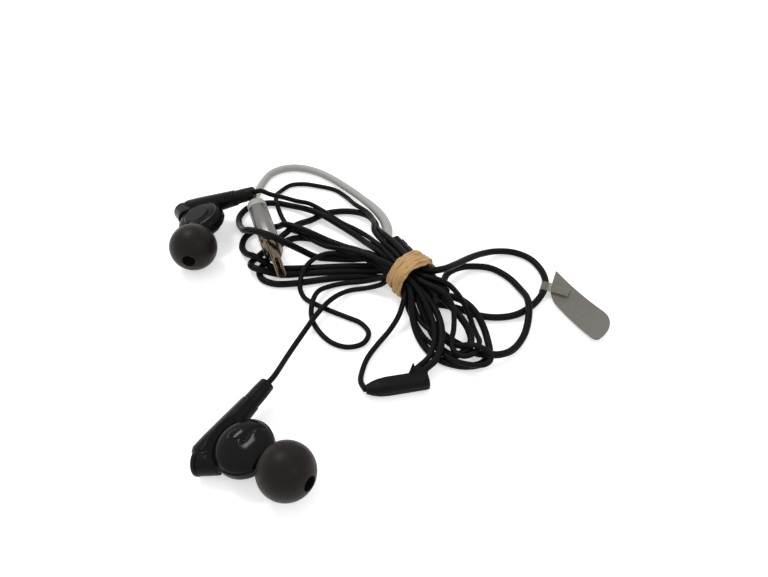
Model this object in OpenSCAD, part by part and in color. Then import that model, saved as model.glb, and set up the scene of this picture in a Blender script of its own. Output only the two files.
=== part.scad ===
// Wired in-ear earphones with a USB-C plug, bundled in loops by a rubber band.
// Millimetres, +Z up, resting on the plane z = 0. The origin is under the middle
// of the two earbuds' common box.

/* [Earbud] */
// Outer diameter of the round driver housing
housing_d = 13.2; // [12:0.1:14.5]
// Depth of the housing below its rim
housing_h = 4.2; // [3.8:0.1:6]
// Wall of the moulded housing
housing_wall = 0.8; // [0.6:0.05:1.1]
// Diameter of the domed outer cap
cap_d = 12.4; // [11:0.1:12.8]
// Rise of the cap's dome above its rim
cap_rise = 1.5; // [0.8:0.1:2.5]
// Height of the cap's straight rim
cap_rim_h = 0.8; // [0.5:0.1:1.2]
// Gap all round between the driver's frame and the housing's cavity
driver_gap = 0.1; // [0.05:0.05:0.4]
// Diameter of the round stub that carries the nozzle
stub_d = 6.4; // [5.8:0.1:7]
// Distance from the housing's axis to the stub's flat end
stub_reach = 7.4; // [7:0.1:9]
// Outer diameter of the nozzle tube
nozzle_d = 4.2; // [3.8:0.1:4.6]
// Bore of the nozzle tube
nozzle_bore = 2.8; // [2.2:0.1:3.2]
// Length of the nozzle from the stub's end
nozzle_l = 6.6; // [5.5:0.1:8]
// Diameter of the rim that holds the eartip on
nozzle_rim_d = 4.8; // [4.6:0.1:5.2]
// Thickness of the filter mesh
mesh_t = 0.3; // [0.2:0.05:0.5]

/* [Eartip] */
// Outer diameter of the silicone eartip
eartip_d = 12.5; // [11:0.1:14]
// Thickness of the eartip's skin
eartip_wall = 0.8; // [0.6:0.05:1.1]
// Wall of the eartip's inner sleeve
eartip_sleeve_wall = 0.9; // [0.6:0.05:1.2]
// Diameter of the sound hole
sound_hole_d = 3.4; // [2.4:0.1:4.2]
// Gap between the eartip's sleeve and the nozzle's rim, all round
eartip_gap = 0.05; // [0.02:0.01:0.1]
// How far the eartip slides before it is off the nozzle
eartip_travel = 6.5; // [5:0.1:9]

/* [Stem] */
// Diameter of the stem at its round lower end
stem_foot_d = 5.8; // [5:0.1:6.4]
// Diameter of the stem at the seam to the sleeve
stem_top_d = 4.4; // [3.8:0.1:5]
// Length of the rubber sleeve beyond the seam
sleeve_l = 5.7; // [5:0.1:10]
// Diameter of the sleeve's far end
sleeve_end_d = 3.4; // [2.8:0.1:3.8]
// Diameter of the short side barrel at the stem's foot
barrel_d = 5.6; // [5:0.1:6.2]
// Thickness of the barrel's end cap
barrel_cap_t = 0.9; // [0.6:0.1:1.4]
// Gap between the barrel's end cap and the stem's round foot
barrel_gap = 0.05; // [0.02:0.01:0.1]

/* [Cords] */
// Diameter of the main cord between control and splitter
main_d = 1.8; // [1.5:0.05:2]
// Diameter of each earbud's own cord
bud_cord_d = 1.35; // [1:0.05:1.5]
// Diameter of the thick lead between plug and control
lead_d = 2.2; // [1.9:0.05:2.5]

/* [Plug] */
// Width of the plug's metal housing
plug_w = 9.4; // [8.8:0.1:11]
// Thickness of the plug's metal housing
plug_h = 5.2; // [4.4:0.1:6.2]
// Length of the plug's metal housing
plug_l = 17; // [14:0.5:22]
// Wall of the plug's metal housing
plug_wall = 0.5; // [0.3:0.05:0.8]
// Width of the steel tip
tip_w = 8.25; // [8.2:0.05:8.3]
// Thickness of the steel tip
tip_h = 2.4; // [2.35:0.05:2.45]
// Length of the steel tip in front of the housing
tip_l = 6.65; // [6.2:0.05:7]
// Wall of the steel tip
tip_wall = 0.3; // [0.2:0.05:0.4]
// Diameter of the rear collar's narrow end
collar_end_d = 3.4; // [2.9:0.1:4]
// Length of the rear collar behind the housing
collar_l = 3.2; // [2.5:0.1:6]

/* [Control] */
// Length of the in-line control
control_l = 23; // [20:0.5:28]
// Width of the in-line control
control_w = 5; // [4.6:0.1:5.4]
// Thickness of the in-line control
control_h = 3.8; // [3.4:0.1:4]
// Wall of the control's shells
control_wall = 0.7; // [0.5:0.05:0.9]
// Length of each button along the control
button_l = 2.4; // [1.8:0.1:2.8]
// Width of each button
button_w = 2; // [1.4:0.1:2.1]
// How far a button stands out of the shell
button_proud = 0.4; // [0.3:0.05:0.6]
// Play round each button in its window
button_gap = 0.12; // [0.08:0.02:0.2]
// How far a button can be pressed
button_travel = 0.3; // [0.15:0.05:0.35]
// Diameter of the relief where it meets the control
relief_root_d = 3.2; // [2.8:0.1:3.6]

/* [Splitter] */
// Length of the Y-splitter
splitter_l = 13.6; // [11:0.1:18]
// Width of the Y-splitter
splitter_w = 4.3; // [4:0.1:5.5]
// Height of the Y-splitter
splitter_h = 3.6; // [3.2:0.1:4.5]
// Rounding of the Y-splitter's long edges
splitter_round = 1.4; // [0.6:0.1:1.5]
// Rounding of the Y-splitter's ends, seen from above
splitter_end_round = 1.9; // [1:0.1:2]
// Height of the small fin on top of the splitter
fin_h = 1.6; // [0.8:0.1:2.4]

/* [Rubber band] */
// Inner diameter of the wound band
band_id = 10.6; // [10.4:0.1:11.4]
// Thickness of the wound band
band_t = 0.8; // [0.6:0.1:1.4]
// Width of the wound band along the bundle
band_w = 6; // [5:0.1:7]

/* [Tag] */
// Length of the care tag
tag_l = 21.4; // [16:0.5:30]
// Width of the care tag
tag_w = 7.6; // [6:0.1:10]
// Thickness of the care tag
tag_t = 0.3; // [0.2:0.05:0.5]
// Length of tape from the cord onto the tag
tape_l = 6.4; // [5:0.1:9]
// Angle at which the tag's taped end is cut
tag_slant = 38; // [0:1:45]
// Width of the tape along the cord
tape_w = 3; // [2:0.1:5]
// Thickness of the tape
tape_t = 0.12; // [0.05:0.01:0.15]

/* [Hidden] */
$fn = 48;

// Small distance by which a cut runs past the surface that it opens
cut = 0.1;
// Sides of a cord's tube
cord_sides = 8;

// ---------------------------------------------------------------- placing

// Place of the layout's own zero in the part's frame
layout = [-0.1, 6.15, 0];

// Each earbud: place of its housing's middle, and its turns about X, Y and Z
left_at = [7.9, -40.7, 5.3];
left_turn = [6.5, -8, -32.5];
right_at = [-13.8, 30.3, 5.5];
right_turn = [19.5, -5.5, -90];

// The plug: rear end of its metal housing, and its turns
plug_at = [1.8, 33.5, 6.7];
plug_turn = [-83, 0, -70];

// The bundle where the band holds it: middle and direction
bundle_at = [44.2, 8.8, 6.1];
bundle_turn = [0, 0, -55];

// The splitter's middle and direction
splitter_at = [40.6, -22, 1.85];
splitter_turn = [0, 0, 11];

// The tag: middle of its taped end and its direction
tag_at = [81.4, 10.6, 1.6];
tag_turn = [10, 3, -60.5];

// The tape: the point of the cord that it is folded round, and its direction
taped_at = [79, 9.2, 1.1];
tape_turn = [0, 0, -22];

function turned_x(v, a) = [v.x, v.y * cos(a) - v.z * sin(a), v.y * sin(a) + v.z * cos(a)];
function turned_y(v, a) = [v.x * cos(a) + v.z * sin(a), v.y, v.z * cos(a) - v.x * sin(a)];
function turned_z(v, a) = [v.x * cos(a) - v.y * sin(a), v.x * sin(a) + v.y * cos(a), v.z];
function turned(v, t) = turned_z(turned_y(turned_x(v, t.x), t.y), t.z);
function placed(v, at, turn) = at + turned(v, turn);

module laid(at, turn) {
    translate(layout + at) rotate(turn) children();
}

// The right earbud is the left one's mirror image
module on_left() { laid(left_at, left_turn) children(); }
module on_right() { laid(right_at, right_turn) mirror([0, 0, 1]) children(); }

// ---------------------------------------------------------------- earbud places

// Heights in an earbud's own frame: +X to the nozzle, +Y along the stem, +Z to the cap
rim_z = 1;
floor_z = rim_z - housing_h;
// Middle of the round eartip along the nozzle
eartip_x = stub_reach + 3.9;
// The skirt's open edge, counted back from the eartip's middle
skirt_back = 4.1;
// The nozzle's seat on the stub
flange_t = 0.8;
flange_d = 5;
// The cap sits in a shallow seat in the housing's mouth
seat_depth = 0.5;
seat_step = 0.6;
cavity_r = cap_d / 2 - seat_step;
driver_d = 2 * (cavity_r - driver_gap);
// Rounding between the housing's wall and floor
floor_round = 1.6;

// The stem: its foot, direction and length to the seam
stem_foot = [-7.6, -5.2, -0.6];
stem_angle = 86;
stem_l = 15;
stem_bore_d = 2.6;

// The web that joins the stem and barrel to the cup
web_z = -2.4;
web_l = 11;
web_gap = 0.2;
web_step = 0.8;

// The side barrel: a point on its axis, its direction, and its two ends along it
barrel_mid = [-6.6, -6.6, -0.6];
barrel_angle = 209;
barrel_in = 3;
barrel_out = 1.7;

// Where the cord leaves the sleeve, and a point a little way on
exit_l = stem_l + sleeve_l;
function stem_point(l) = stem_foot + l * [cos(stem_angle), sin(stem_angle), 0];
function flipped(v) = [v.x, v.y, -v.z];

// ---------------------------------------------------------------- bundle places

// Half of the straight run through the band
pass_half = 3.2;
// A point of the bundle: along its axis, across it and above its middle
function slot(s, u, v) = placed([s, u, v], bundle_at, bundle_turn);
// A strand through the band, from the left loops to the right ones and back
function to_right(a, b) = [slot(-pass_half, a.x, a.y), slot(pass_half, b.x, b.y)];
function to_left(a, b) = [slot(pass_half, b.x, b.y), slot(-pass_half, a.x, a.y)];

// The control lies inside the band with the strands, turned a little from them
control_at = slot(-1.5, 2.25, 0.05);
control_turn = [0, 0, -57.5];
control_corner = 1.2;
// A point on the control's axis, l beyond its end on one side
function control_end(side, l) = placed([side * (control_l / 2 + l), 0, 0], control_at, control_turn);

// Neck at the splitter's right end, where two cords enter beside each other
neck_at = [splitter_l / 2 - 2.4, 0.9, 0];
neck_turn = 62;
neck_l = 2.6;
function splitter_mouth(side) =
    placed(neck_at + turned_z([neck_l, -side, 0], neck_turn), splitter_at, splitter_turn);

// ---------------------------------------------------------------- cord routes

// Lead: plug collar to the control's strain relief
lead_route = concat(
    [placed([-collar_l, 0, 0], plug_at, plug_turn), [0.1, 39.9, 4.6]],
    [[-0.8, 43.2, 3.2], [-1.1, 47.8, 1.6], [-0.1, 53.2, 1.1], [1.8, 57.6, 1.1], [4.8, 60, 1.1],
     [8.8, 60.9, 1.1], [13.2, 60.1, 1.1], [17.6, 57.9, 1.1], [21.6, 54.7, 1.2], [25, 51, 1.6],
     [28, 47.4, 2.1], [30.6, 43.6, 2.8]]);

// The tapered relief, from the lead's end to the control
relief_route = concat(
    [[30.6, 43.6, 2.8], [33, 39.8, 3.7], [35.2, 35.8, 4.5], [37, 31.4, 5.2], [37.9, 27, 5.8]],
    [control_end(-1, 2), control_end(-1, 0)]);

// Main cord: control to splitter, eight times through the band
main_route = concat(
    [control_end(1, 0), control_end(1, 2)],
    [[55.6, -4, 5], [57.4, -7, 4], [58, -10, 3.3], [57, -12.6, 3], [54, -13.2, 1.3],
     [51.2, -11.2, 0.9], [49.2, -7.4, 1.5], [47.2, -2.8, 3], [45.7, 1.4, 4.8]],
    to_left([-1.45, -0.85], [-1.45, -0.85]),
    [[37.2, 15, 4.6], [33.6, 18.6, 4.2], [29.8, 21.4, 2.7], [25.6, 24, 1.1], [21, 26.2, 0.9],
     [16.5, 28.3, 0.9], [12, 28.6, 0.9], [8.6, 26.6, 0.9], [6.4, 23, 0.9], [4.8, 19, 0.9],
     [3.5, 15.6, 0.9], [4.6, 12.6, 0.9], [8, 10.9, 0.9], [13, 11, 0.9], [19, 12.1, 0.9],
     [25, 13.1, 0.9], [31, 13.4, 0.9], [36.4, 12.8, 1.2], [39.9, 11.8, 1.5]],
    to_right([-0.5, -4.45], [-0.4, -4.45]),
    [[48.4, 3.4, 1.3], [52, 3.4, 0.9], [56.4, 2, 0.9], [60.5, 0, 0.9], [65, -0.8, 0.9],
     [70, -0.1, 0.9], [74.4, 2.6, 0.9], [77.9, 6.6, 1.1], [79.7, 11, 1.1], [79.4, 15.8, 0.9],
     [77, 20.3, 0.9], [73, 22.8, 0.9], [68.4, 22.8, 1.4], [63.6, 20.4, 2.8], [59.2, 16.2, 5],
     [55.4, 11.8, 7.2], [52, 8.6, 8.8]],
    to_left([1.15, 2.9], [3.2, 2.9]),
    [[41.2, 15.4, 9.1], [38.9, 18.8, 9.1], [36.7, 22.2, 8.4], [35.1, 26.4, 6.4], [34.4, 31.4, 4.3],
     [32.4, 36.4, 2.4], [28.8, 39.5, 1.2], [24.4, 40.2, 0.9], [20, 39.2, 0.9], [15.8, 36, 1.1],
     [12, 31.9, 2.8], [9.2, 29.7, 1.8], [6.5, 27.1, 0.9], [4.8, 24.4, 0.9], [2.9, 21.8, 0.9], [1, 18.6, 1.2],
     [1.8, 15.4, 2.7], [5, 14.1, 2.6], [9.5, 14.3, 0.9], [15, 14.6, 0.9], [21, 15.1, 0.9],
     [27, 15.4, 0.9], [32.6, 15.1, 1.3], [37.2, 13.6, 3]],
    to_right([-1.55, -2.65], [-1.55, -2.65]),
    [[47.2, 1.6, 2.4], [49.2, -2.8, 1.2], [52.4, -7, 0.9], [56, -10, 0.9], [59.2, -12.6, 1.4],
     [61.6, -13.9, 2.7], [64.6, -13.7, 2.3], [68.2, -11.4, 1.3], [71.8, -6.2, 0.9],
     [73.4, -1, 2.2], [73.7, 3.6, 2.7], [72.6, 9, 1.1], [70, 13.4, 0.9],
     [66, 16.6, 0.9], [61.4, 17.2, 1.1], [57.2, 15.8, 2],
     [53.8, 12.8, 2.8], [52.4, 9.6, 3.2], [50.9, 7.4, 3.3], [49.3, 7, 3.4]],
    to_left([2.2, -2.75], [2.2, -2.75]),
    [[40.9, 16.2, 2.5], [37, 17.6, 1], [33.4, 17.5, 0.9], [29, 17.5, 0.9], [24, 17.3, 0.9],
     [18.5, 16.9, 0.9], [13, 16.6, 0.9], [8.9, 16.6, 0.9], [6.7, 16.9, 1.15], [4.4, 17.7, 2.6], [1.8, 19.2, 3],
     [-0.9, 21.8, 1.6], [-2.5, 25, 0.9], [-2.2, 28.8, 0.9], [0.2, 31.8, 0.9], [4.2, 32.9, 0.9],
     [7, 32.5, 1.9], [9, 31.1, 3.9], [12.4, 29.2, 4.6], [17, 27.2, 4], [21.6, 25.3, 3], [26.2, 22.6, 3.3],
     [30, 19.4, 4.9], [33.4, 15.9, 6.3], [36.6, 12.4, 7]],
    to_right([-3.3, 1.15], [-3.3, 1.15]),
    [[43.9, 0.8, 5.9], [44.1, -3.2, 3.9], [45.2, -7.2, 2], [47.4, -11, 0.9], [50.4, -14.2, 0.9],
     [53.8, -15.7, 0.9], [57.2, -16.1, 0.9], [60.4, -15.2, 0.9], [62.4, -12.2, 0.9], [62.4, -7.8, 0.9],
     [61.4, -3.6, 1.8], [59.4, 0.2, 2.9], [56.8, 3, 3.1], [53.6, 4.4, 3.2], [50.2, 4.5, 3.3]],
    to_left([0.4, -2.75], [0.4, -2.75]),
    [[39.4, 14.8, 3.2], [36, 16.9, 2.7], [32.6, 18.8, 2.4], [28, 20, 1], [23, 20.4, 0.9],
     [18.6, 20.6, 1.3], [14.8, 20, 4.4], [11.7, 17.8, 9], [8.4, 16.8, 12.3], [5, 18.2, 12.6],
     [1.8, 20.8, 11], [-0.9, 24.4, 7.8], [-2.7, 29.2, 4.2], [-4.4, 33.6, 1.9], [-5, 38, 0.9],
     [-3.2, 41.6, 0.9], [0.4, 43.6, 0.9], [5, 43.9, 0.9], [9.6, 42.6, 1], [14.2, 40, 2],
     [19, 36.6, 2.8], [24, 33.2, 2], [28.6, 29.2, 1.9], [32, 24.6, 3], [34.8, 19.8, 5.1],
     [37.8, 14.9, 6.7]],
    to_right([-1.45, 0.95], [-1.45, 0.95]),
    [[46.7, 2.7, 6.7], [48.3, 0, 6.3], [49.8, -2.9, 5.7], [50.7, -6, 5], [50.9, -9.2, 4.5],
     [50.5, -12.4, 4], [49.4, -15.4, 3]],
    [splitter_mouth(0.8)]);

// Right earbud's cord: stem to splitter, three times through the band
right_route = concat(
    [placed(flipped(stem_point(exit_l)), right_at, right_turn),
     placed(flipped(stem_point(exit_l + 2)), right_at, right_turn)],
    [[5.3, 36, 10.7], [8.5, 37.7, 8.2], [11.8, 39.5, 5.4], [15.3, 40.8, 3.3], [19.6, 38.2, 2.6], [24.4, 34.9, 1.5],
     [29, 31.3, 1.8], [32.6, 26.5, 3.4], [35.2, 21.6, 5.4], [37.4, 17.2, 7.6], [38.8, 13.2, 8.7]],
    to_right([-2.1, 2.7], [-1.15, 2.75]),
    [[47.6, 3.4, 8.9], [50.4, 1.4, 9], [52.6, -0.8, 8.6], [53.8, -3.4, 7.5], [54, -5.8, 6],
     [53.8, -8.2, 4.6], [53.2, -10.8, 3.6], [53.8, -13.4, 3.1], [56, -14.8, 3.1], [58.6, -14, 3.6],
     [59.9, -11, 3.6], [59.6, -7.6, 2.5], [59.2, -4.4, 1.4], [58.4, -1.6, 2.4], [57, 0.6, 4.6],
     [55.4, 2, 6.6], [53.2, 3.4, 8.4], [50.6, 4.7, 9]],
    to_left([-0.45, 2.7], [0.6, 2.7]),
    [[39.7, 14.6, 9], [36.8, 18.4, 9], [34.4, 22.8, 8.8], [34.2, 27, 8], [33.8, 31.2, 6.1],
     [32, 36.2, 4.2], [28.4, 41.2, 2.8], [25.6, 46.6, 1.1], [22, 50.4, 0.7], [17, 52.2, 0.7],
     [12.4, 53.2, 0.7], [8.4, 52.6, 0.7], [5.6, 49.6, 0.7], [4.9, 46.2, 2], [5.4, 42.4, 2.7],
     [6.8, 38.6, 1.2], [8.6, 35.2, 0.7], [10.8, 32.2, 0.7], [13.8, 28.9, 2.5], [17, 26.2, 2.5],
     [21, 23.4, 2.7], [25.4, 20.4, 4.6], [30, 17, 6.6], [34.6, 13.4, 8.2]],
    to_right([-3.45, 2.75], [-2.7, 2.7]),
    [[45.4, 2.4, 8], [46.8, -0.2, 7.2], [48, -3, 6.2], [48.9, -6, 5.3], [49.2, -9, 4.6],
     [48.8, -12, 3.7], [47.6, -14.8, 2.8]],
    [splitter_mouth(-1)]);

// Left earbud's cord: stem to splitter, three times through the band
left_route = concat(
    [placed(stem_point(exit_l), left_at, left_turn),
     placed(stem_point(exit_l + 2), left_at, left_turn)],
    [[14.2, -14, 2.6], [17.3, -6.6, 2.1], [20.2, -0.6, 2.1], [23.8, 4.6, 2.1], [27.8, 8.5, 0.8],
     [32.2, 9.4, 0.8], [36, 8.9, 2.6]],
    to_right([-4.4, -1.5], [-4.4, -1.5]),
    [[43, 1, 2.8], [44.8, -3, 1.2], [46.8, -7, 0.7], [49, -10.3, 1.5], [51.2, -13.6, 2.3],
     [54.4, -16, 2.5], [58, -17, 2.6], [60.8, -16.9, 2.7], [62.1, -16, 3.3],
     [61.9, -14.7, 4.3], [60, -13.7, 5],
     [57.4, -12.8, 5], [55.2, -12, 3.6], [53.2, -10.5, 2], [51.2, -8.8, 2.6], [48.2, -7, 3.4],
     [45.9, -3.6, 3], [44.3, 0.6, 4]],
    to_left([-3.05, -0.85], [-3.05, -0.9]),
    [[36.2, 12.8, 5.1], [33, 16, 4.4], [29, 19, 3.4], [25, 20.6, 2.7], [21.4, 20.6, 2.6],
     [18.2, 18.8, 2.5], [16.2, 15.8, 2.5], [15.2, 12, 2.7], [15.1, 8.4, 1.6], [16.4, 6, 0.7],
     [19.4, 3.8, 0.7], [23.6, 1.4, 0.7], [27.6, -0.6, 0.7], [31.2, -2.6, 0.7], [33.2, -5.8, 0.7],
     [31.9, -9, 0.7], [28.2, -10.2, 0.7], [24.2, -8.8, 0.7], [20.8, -5.2, 0.7], [18.7, -0.8, 0.7],
     [18.6, 3, 1.8], [19.8, 7, 2], [22.8, 10.1, 0.8], [26.6, 11.3, 0.7], [31.2, 11.2, 1.4],
     [35.4, 9.8, 4]],
    to_right([-4.55, 0], [-4.55, -0.1]),
    [[41.8, 0.8, 5], [40.7, -2.2, 3.3], [38.4, -5.6, 1.6], [35.4, -9.4, 0.7], [33, -13.6, 0.7],
     [31.8, -17.6, 0.7], [31.6, -20.8, 1.2]],
    [placed([-splitter_l / 2 - 1.2, 0, 0], splitter_at, splitter_turn)]);

// ---------------------------------------------------------------- swept tubes

function unit(v) = v / norm(v);
function heading(pts, i) =
    i == 0 ? unit(pts[1] - pts[0]) :
    i == len(pts) - 1 ? unit(pts[i] - pts[i - 1]) :
    unit(unit(pts[i + 1] - pts[i]) + unit(pts[i] - pts[i - 1]));
// One ring of a tube: the side direction stays level
function ring(p, dir, r) =
    let (side = unit(cross(dir, [0, 0, 1])), top = cross(side, dir))
    [for (k = [0:cord_sides - 1]) let (a = (k + 0.5) * 360 / cord_sides)
        p + r * cos(a) * side + r * sin(a) * top];

// A tube along a route, with one ring at each point, from diameter d1 to d2
module tube(route, d1, d2) {
    n = len(route);
    rings = [for (i = [0:n - 1])
        each ring(layout + route[i], heading(route, i), (d1 + (d2 - d1) * i / (n - 1)) / 2)];
    sides = [for (i = [0:n - 2], k = [0:cord_sides - 1]) let (q = (k + 1) % cord_sides)
        each [[i * cord_sides + k, i * cord_sides + q, (i + 1) * cord_sides + q],
              [i * cord_sides + k, (i + 1) * cord_sides + q, (i + 1) * cord_sides + k]]];
    caps = [[for (k = [cord_sides - 1:-1:0]) k],
            [for (k = [0:cord_sides - 1]) (n - 1) * cord_sides + k]];
    polyhedron(rings, concat(sides, caps));
}

// ---------------------------------------------------------------- shared shapes

along_x = [0, 90, 0];

module rod(x1, x2, d) { translate([x1, 0, 0]) rotate(along_x) cylinder(h = x2 - x1, d = d); }

// Rectangle with rounded corners, and a bar of that section from x1 to x2 along X
module rounded(w, h, r) {
    square([w - 2 * r, h], center = true);
    if (h > 2 * r) square([w, h - 2 * r], center = true);
    for (a = [-1, 1], b = [-1, 1]) translate([a * (w / 2 - r), b * (h / 2 - r)]) circle(r);
}
module bar(x1, x2, w, h, r) {
    translate([x1, 0, 0]) rotate([90, 0, 90]) linear_extrude(x2 - x1) rounded(w, h, r);
}

// Points of an arc in a profile
function arc(c, r, a1, a2, n) =
    [for (i = [0:n]) let (a = a1 + (a2 - a1) * i / n) c + r * [cos(a), sin(a)]];

// ---------------------------------------------------------------- earbud pieces

// Solid dome of the cap, grown outward by g
dome_r = (pow(cap_d / 2, 2) + pow(cap_rise, 2)) / (2 * cap_rise);
dome_z = rim_z + cap_rim_h + cap_rise - dome_r;
module dome(g) {
    intersection() {
        translate([0, 0, dome_z]) sphere(dome_r + g);
        translate([0, 0, rim_z + cap_rim_h]) cylinder(h = cap_rise + g + 1, r = cap_d / 2 + g);
    }
}

module on_stem(l) { translate(stem_point(l)) rotate([0, 0, stem_angle]) children(); }
module on_barrel(l) {
    translate(barrel_mid) rotate([0, 0, barrel_angle]) translate([l, 0, 0]) children();
}

// Round cup with a stub for the nozzle, a hollow stem and a short side barrel
module housing() {
    r = housing_d / 2;
    difference() {
        union() {
            translate([0, 0, floor_z]) rotate_extrude() polygon(concat(
                [[0, 0]], arc([r - floor_round, floor_round], floor_round, -90, 0, 6),
                [[r, housing_h], [0, housing_h]]));
            rod(cavity_r - 0.4, stub_reach, stub_d);
            translate([0, 0, web_z]) linear_extrude(rim_z - web_gap - web_z) hull() {
                circle(cavity_r);
                translate([barrel_mid.x, barrel_mid.y]) rotate(barrel_angle)
                    translate([barrel_out - barrel_cap_t - web_gap - (barrel_d - web_step) / 2, 0])
                    circle(d = barrel_d - web_step);
                translate([stem_point(web_l).x, stem_point(web_l).y]) circle(d = stem_top_d - web_step);
            }
            on_stem(0) rotate(along_x) sphere(d = stem_foot_d);
            on_stem(0) rotate(along_x) cylinder(h = stem_l, d1 = stem_foot_d, d2 = stem_top_d);
            on_barrel(0) rod(-barrel_in, barrel_out - barrel_cap_t, barrel_d);
        }
        // Cavity and the cap's seat
        translate([0, 0, floor_z + housing_wall]) cylinder(h = housing_h, r = cavity_r);
        translate([0, 0, rim_z - seat_depth]) cylinder(h = housing_h, d = cap_d);
        // Bore of the stub, bore of the stem and the wires' way between stem and cavity
        rod(cavity_r - 1, stub_reach + cut, nozzle_bore);
        on_stem(0) rod(2, stem_l + cut, stem_bore_d);
        translate([stem_point(5).x, stem_point(5).y, stem_foot.z]) rod(0, 3, 1.2);
        // Groove round the barrel, just behind its end cap
        on_barrel(0) difference() {
            rod(barrel_out - barrel_cap_t - 0.4, barrel_out - barrel_cap_t - 0.1, barrel_d + 1);
            rod(barrel_out - barrel_cap_t - 1, barrel_out, barrel_d - 0.5);
        }
    }
}

// Domed cap with an oval pad and a curved ridge round it
module cap() {
    difference() {
        union() {
            translate([0, 0, rim_z - seat_depth]) cylinder(h = seat_depth + cap_rim_h, d = cap_d);
            dome(0);
            intersection() {
                dome(0.3);
                translate([-1.5, 0.6, rim_z]) rotate([0, 0, 32]) linear_extrude(5) {
                    square([2.6, 2.8], center = true);
                    for (a = [-1.3, 1.3]) translate([a, 0]) circle(1.4);
                }
            }
            intersection() {
                dome(0.35);
                translate([0.2, 0.2, rim_z]) rotate([0, 0, -120])
                    rotate_extrude(angle = 150) translate([3.7, 0]) square([0.7, 5]);
            }
        }
        translate([0, 0, rim_z - seat_depth - cut])
            cylinder(h = seat_depth + cap_rim_h + cut, r = cap_d / 2 - housing_wall);
    }
}

module nozzle() {
    difference() {
        union() {
            rod(stub_reach, stub_reach + flange_t, flange_d);
            rod(stub_reach, stub_reach + nozzle_l, nozzle_d);
            rod(stub_reach + nozzle_l - 1, stub_reach + nozzle_l, nozzle_rim_d);
        }
        rod(stub_reach - cut, stub_reach + nozzle_l + cut, nozzle_bore);
        rod(stub_reach + nozzle_l - mesh_t, stub_reach + nozzle_l + cut, nozzle_bore + 0.6);
    }
}

module mesh() {
    rod(stub_reach + nozzle_l - mesh_t, stub_reach + nozzle_l, nozzle_bore + 0.6);
}

// Hollow silicone ball: an outer skin open at the back and an inner sleeve
module eartip() {
    outer = eartip_d / 2;
    inner = outer - eartip_wall;
    bore = nozzle_rim_d / 2 + eartip_gap;
    sleeve = bore + eartip_sleeve_wall;
    hole = sound_hole_d / 2;
    front = stub_reach + nozzle_l - eartip_x + 0.4;
    back = stub_reach + flange_t - eartip_x + 0.15;
    translate([eartip_x, 0, 0]) rotate(along_x) rotate_extrude($fn = 64) polygon(concat(
        arc([0, 0], outer, -asin(skirt_back / outer), acos(hole / outer), 20),
        [[hole, front], [bore, front], [bore, back], [sleeve, back]],
        arc([0, 0], inner, acos(sleeve / inner), -asin(skirt_back / inner), 16)));
}

// Driver: an open frame on the cavity's floor, a magnet in it and a diaphragm on it
driver_h = 2;
module driver_frame() {
    translate([0, 0, floor_z + housing_wall]) difference() {
        cylinder(h = driver_h, d = driver_d);
        translate([0, 0, 0.4]) cylinder(h = driver_h, d = driver_d - 1.2);
    }
}
module magnet() {
    translate([0, 0, floor_z + housing_wall + 0.4]) cylinder(h = 1.1, d = driver_d * 0.6);
}
module diaphragm() {
    translate([0, 0, floor_z + housing_wall + driver_h]) {
        cylinder(h = 0.15, d = driver_d);
        translate([0, 0, 0.15]) cylinder(h = 0.3, d1 = driver_d * 0.5, d2 = driver_d * 0.4);
    }
}
module barrel_cap() {
    difference() {
        on_barrel(barrel_out - barrel_cap_t) rotate(along_x) {
            cylinder(h = barrel_cap_t - 0.3, d = barrel_d);
            translate([0, 0, barrel_cap_t - 0.3]) cylinder(h = 0.3, d1 = barrel_d, d2 = barrel_d - 0.6);
        }
        translate(stem_foot) sphere(d = stem_foot_d + 2 * barrel_gap);
    }
}
// Rubber sleeve round the cord, on the end of the stem
module sleeve() {
    on_stem(stem_l) rotate(along_x) difference() {
        cylinder(h = sleeve_l, d1 = stem_top_d, d2 = sleeve_end_d);
        translate([0, 0, -cut]) cylinder(h = sleeve_l - 1, d = bud_cord_d);
    }
}

module left_housing() { color("#1a1a1c") on_left() housing(); }
module left_cap() { color("#202022") on_left() cap(); }
module left_nozzle() { color("#1a1a1c") on_left() nozzle(); }
module left_mesh() { color("#8a8a8c") on_left() mesh(); }
module left_eartip() { color("#2a2523") on_left() eartip(); }
module left_driver_frame() { color("#303032") on_left() driver_frame(); }
module left_magnet() { color("#9a9a9c") on_left() magnet(); }
module left_diaphragm() { color("#c8c2b0") on_left() diaphragm(); }
module left_barrel_cap() { color("#202022") on_left() barrel_cap(); }
module left_sleeve() { color("#161617") on_left() sleeve(); }
module right_housing() { color("#1a1a1c") on_right() housing(); }
module right_cap() { color("#202022") on_right() cap(); }
module right_nozzle() { color("#1a1a1c") on_right() nozzle(); }
module right_mesh() { color("#8a8a8c") on_right() mesh(); }
module right_eartip() { color("#2a2523") on_right() eartip(); }
module right_driver_frame() { color("#303032") on_right() driver_frame(); }
module right_magnet() { color("#9a9a9c") on_right() magnet(); }
module right_diaphragm() { color("#c8c2b0") on_right() diaphragm(); }
module right_barrel_cap() { color("#202022") on_right() barrel_cap(); }
module right_sleeve() { color("#161617") on_right() sleeve(); }

// ---------------------------------------------------------------- plug pieces

// In the plug's frame +X runs to the tip and X = 0 is the housing's rear end
plug_round = plug_h / 2 - 0.3;
liner_l = tip_l + 1.5;
slot_w = 6.9;
slot_h = 1.2;
slot_l = 5.6;
board_t = 0.8;
board_gap = 0.1;

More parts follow.
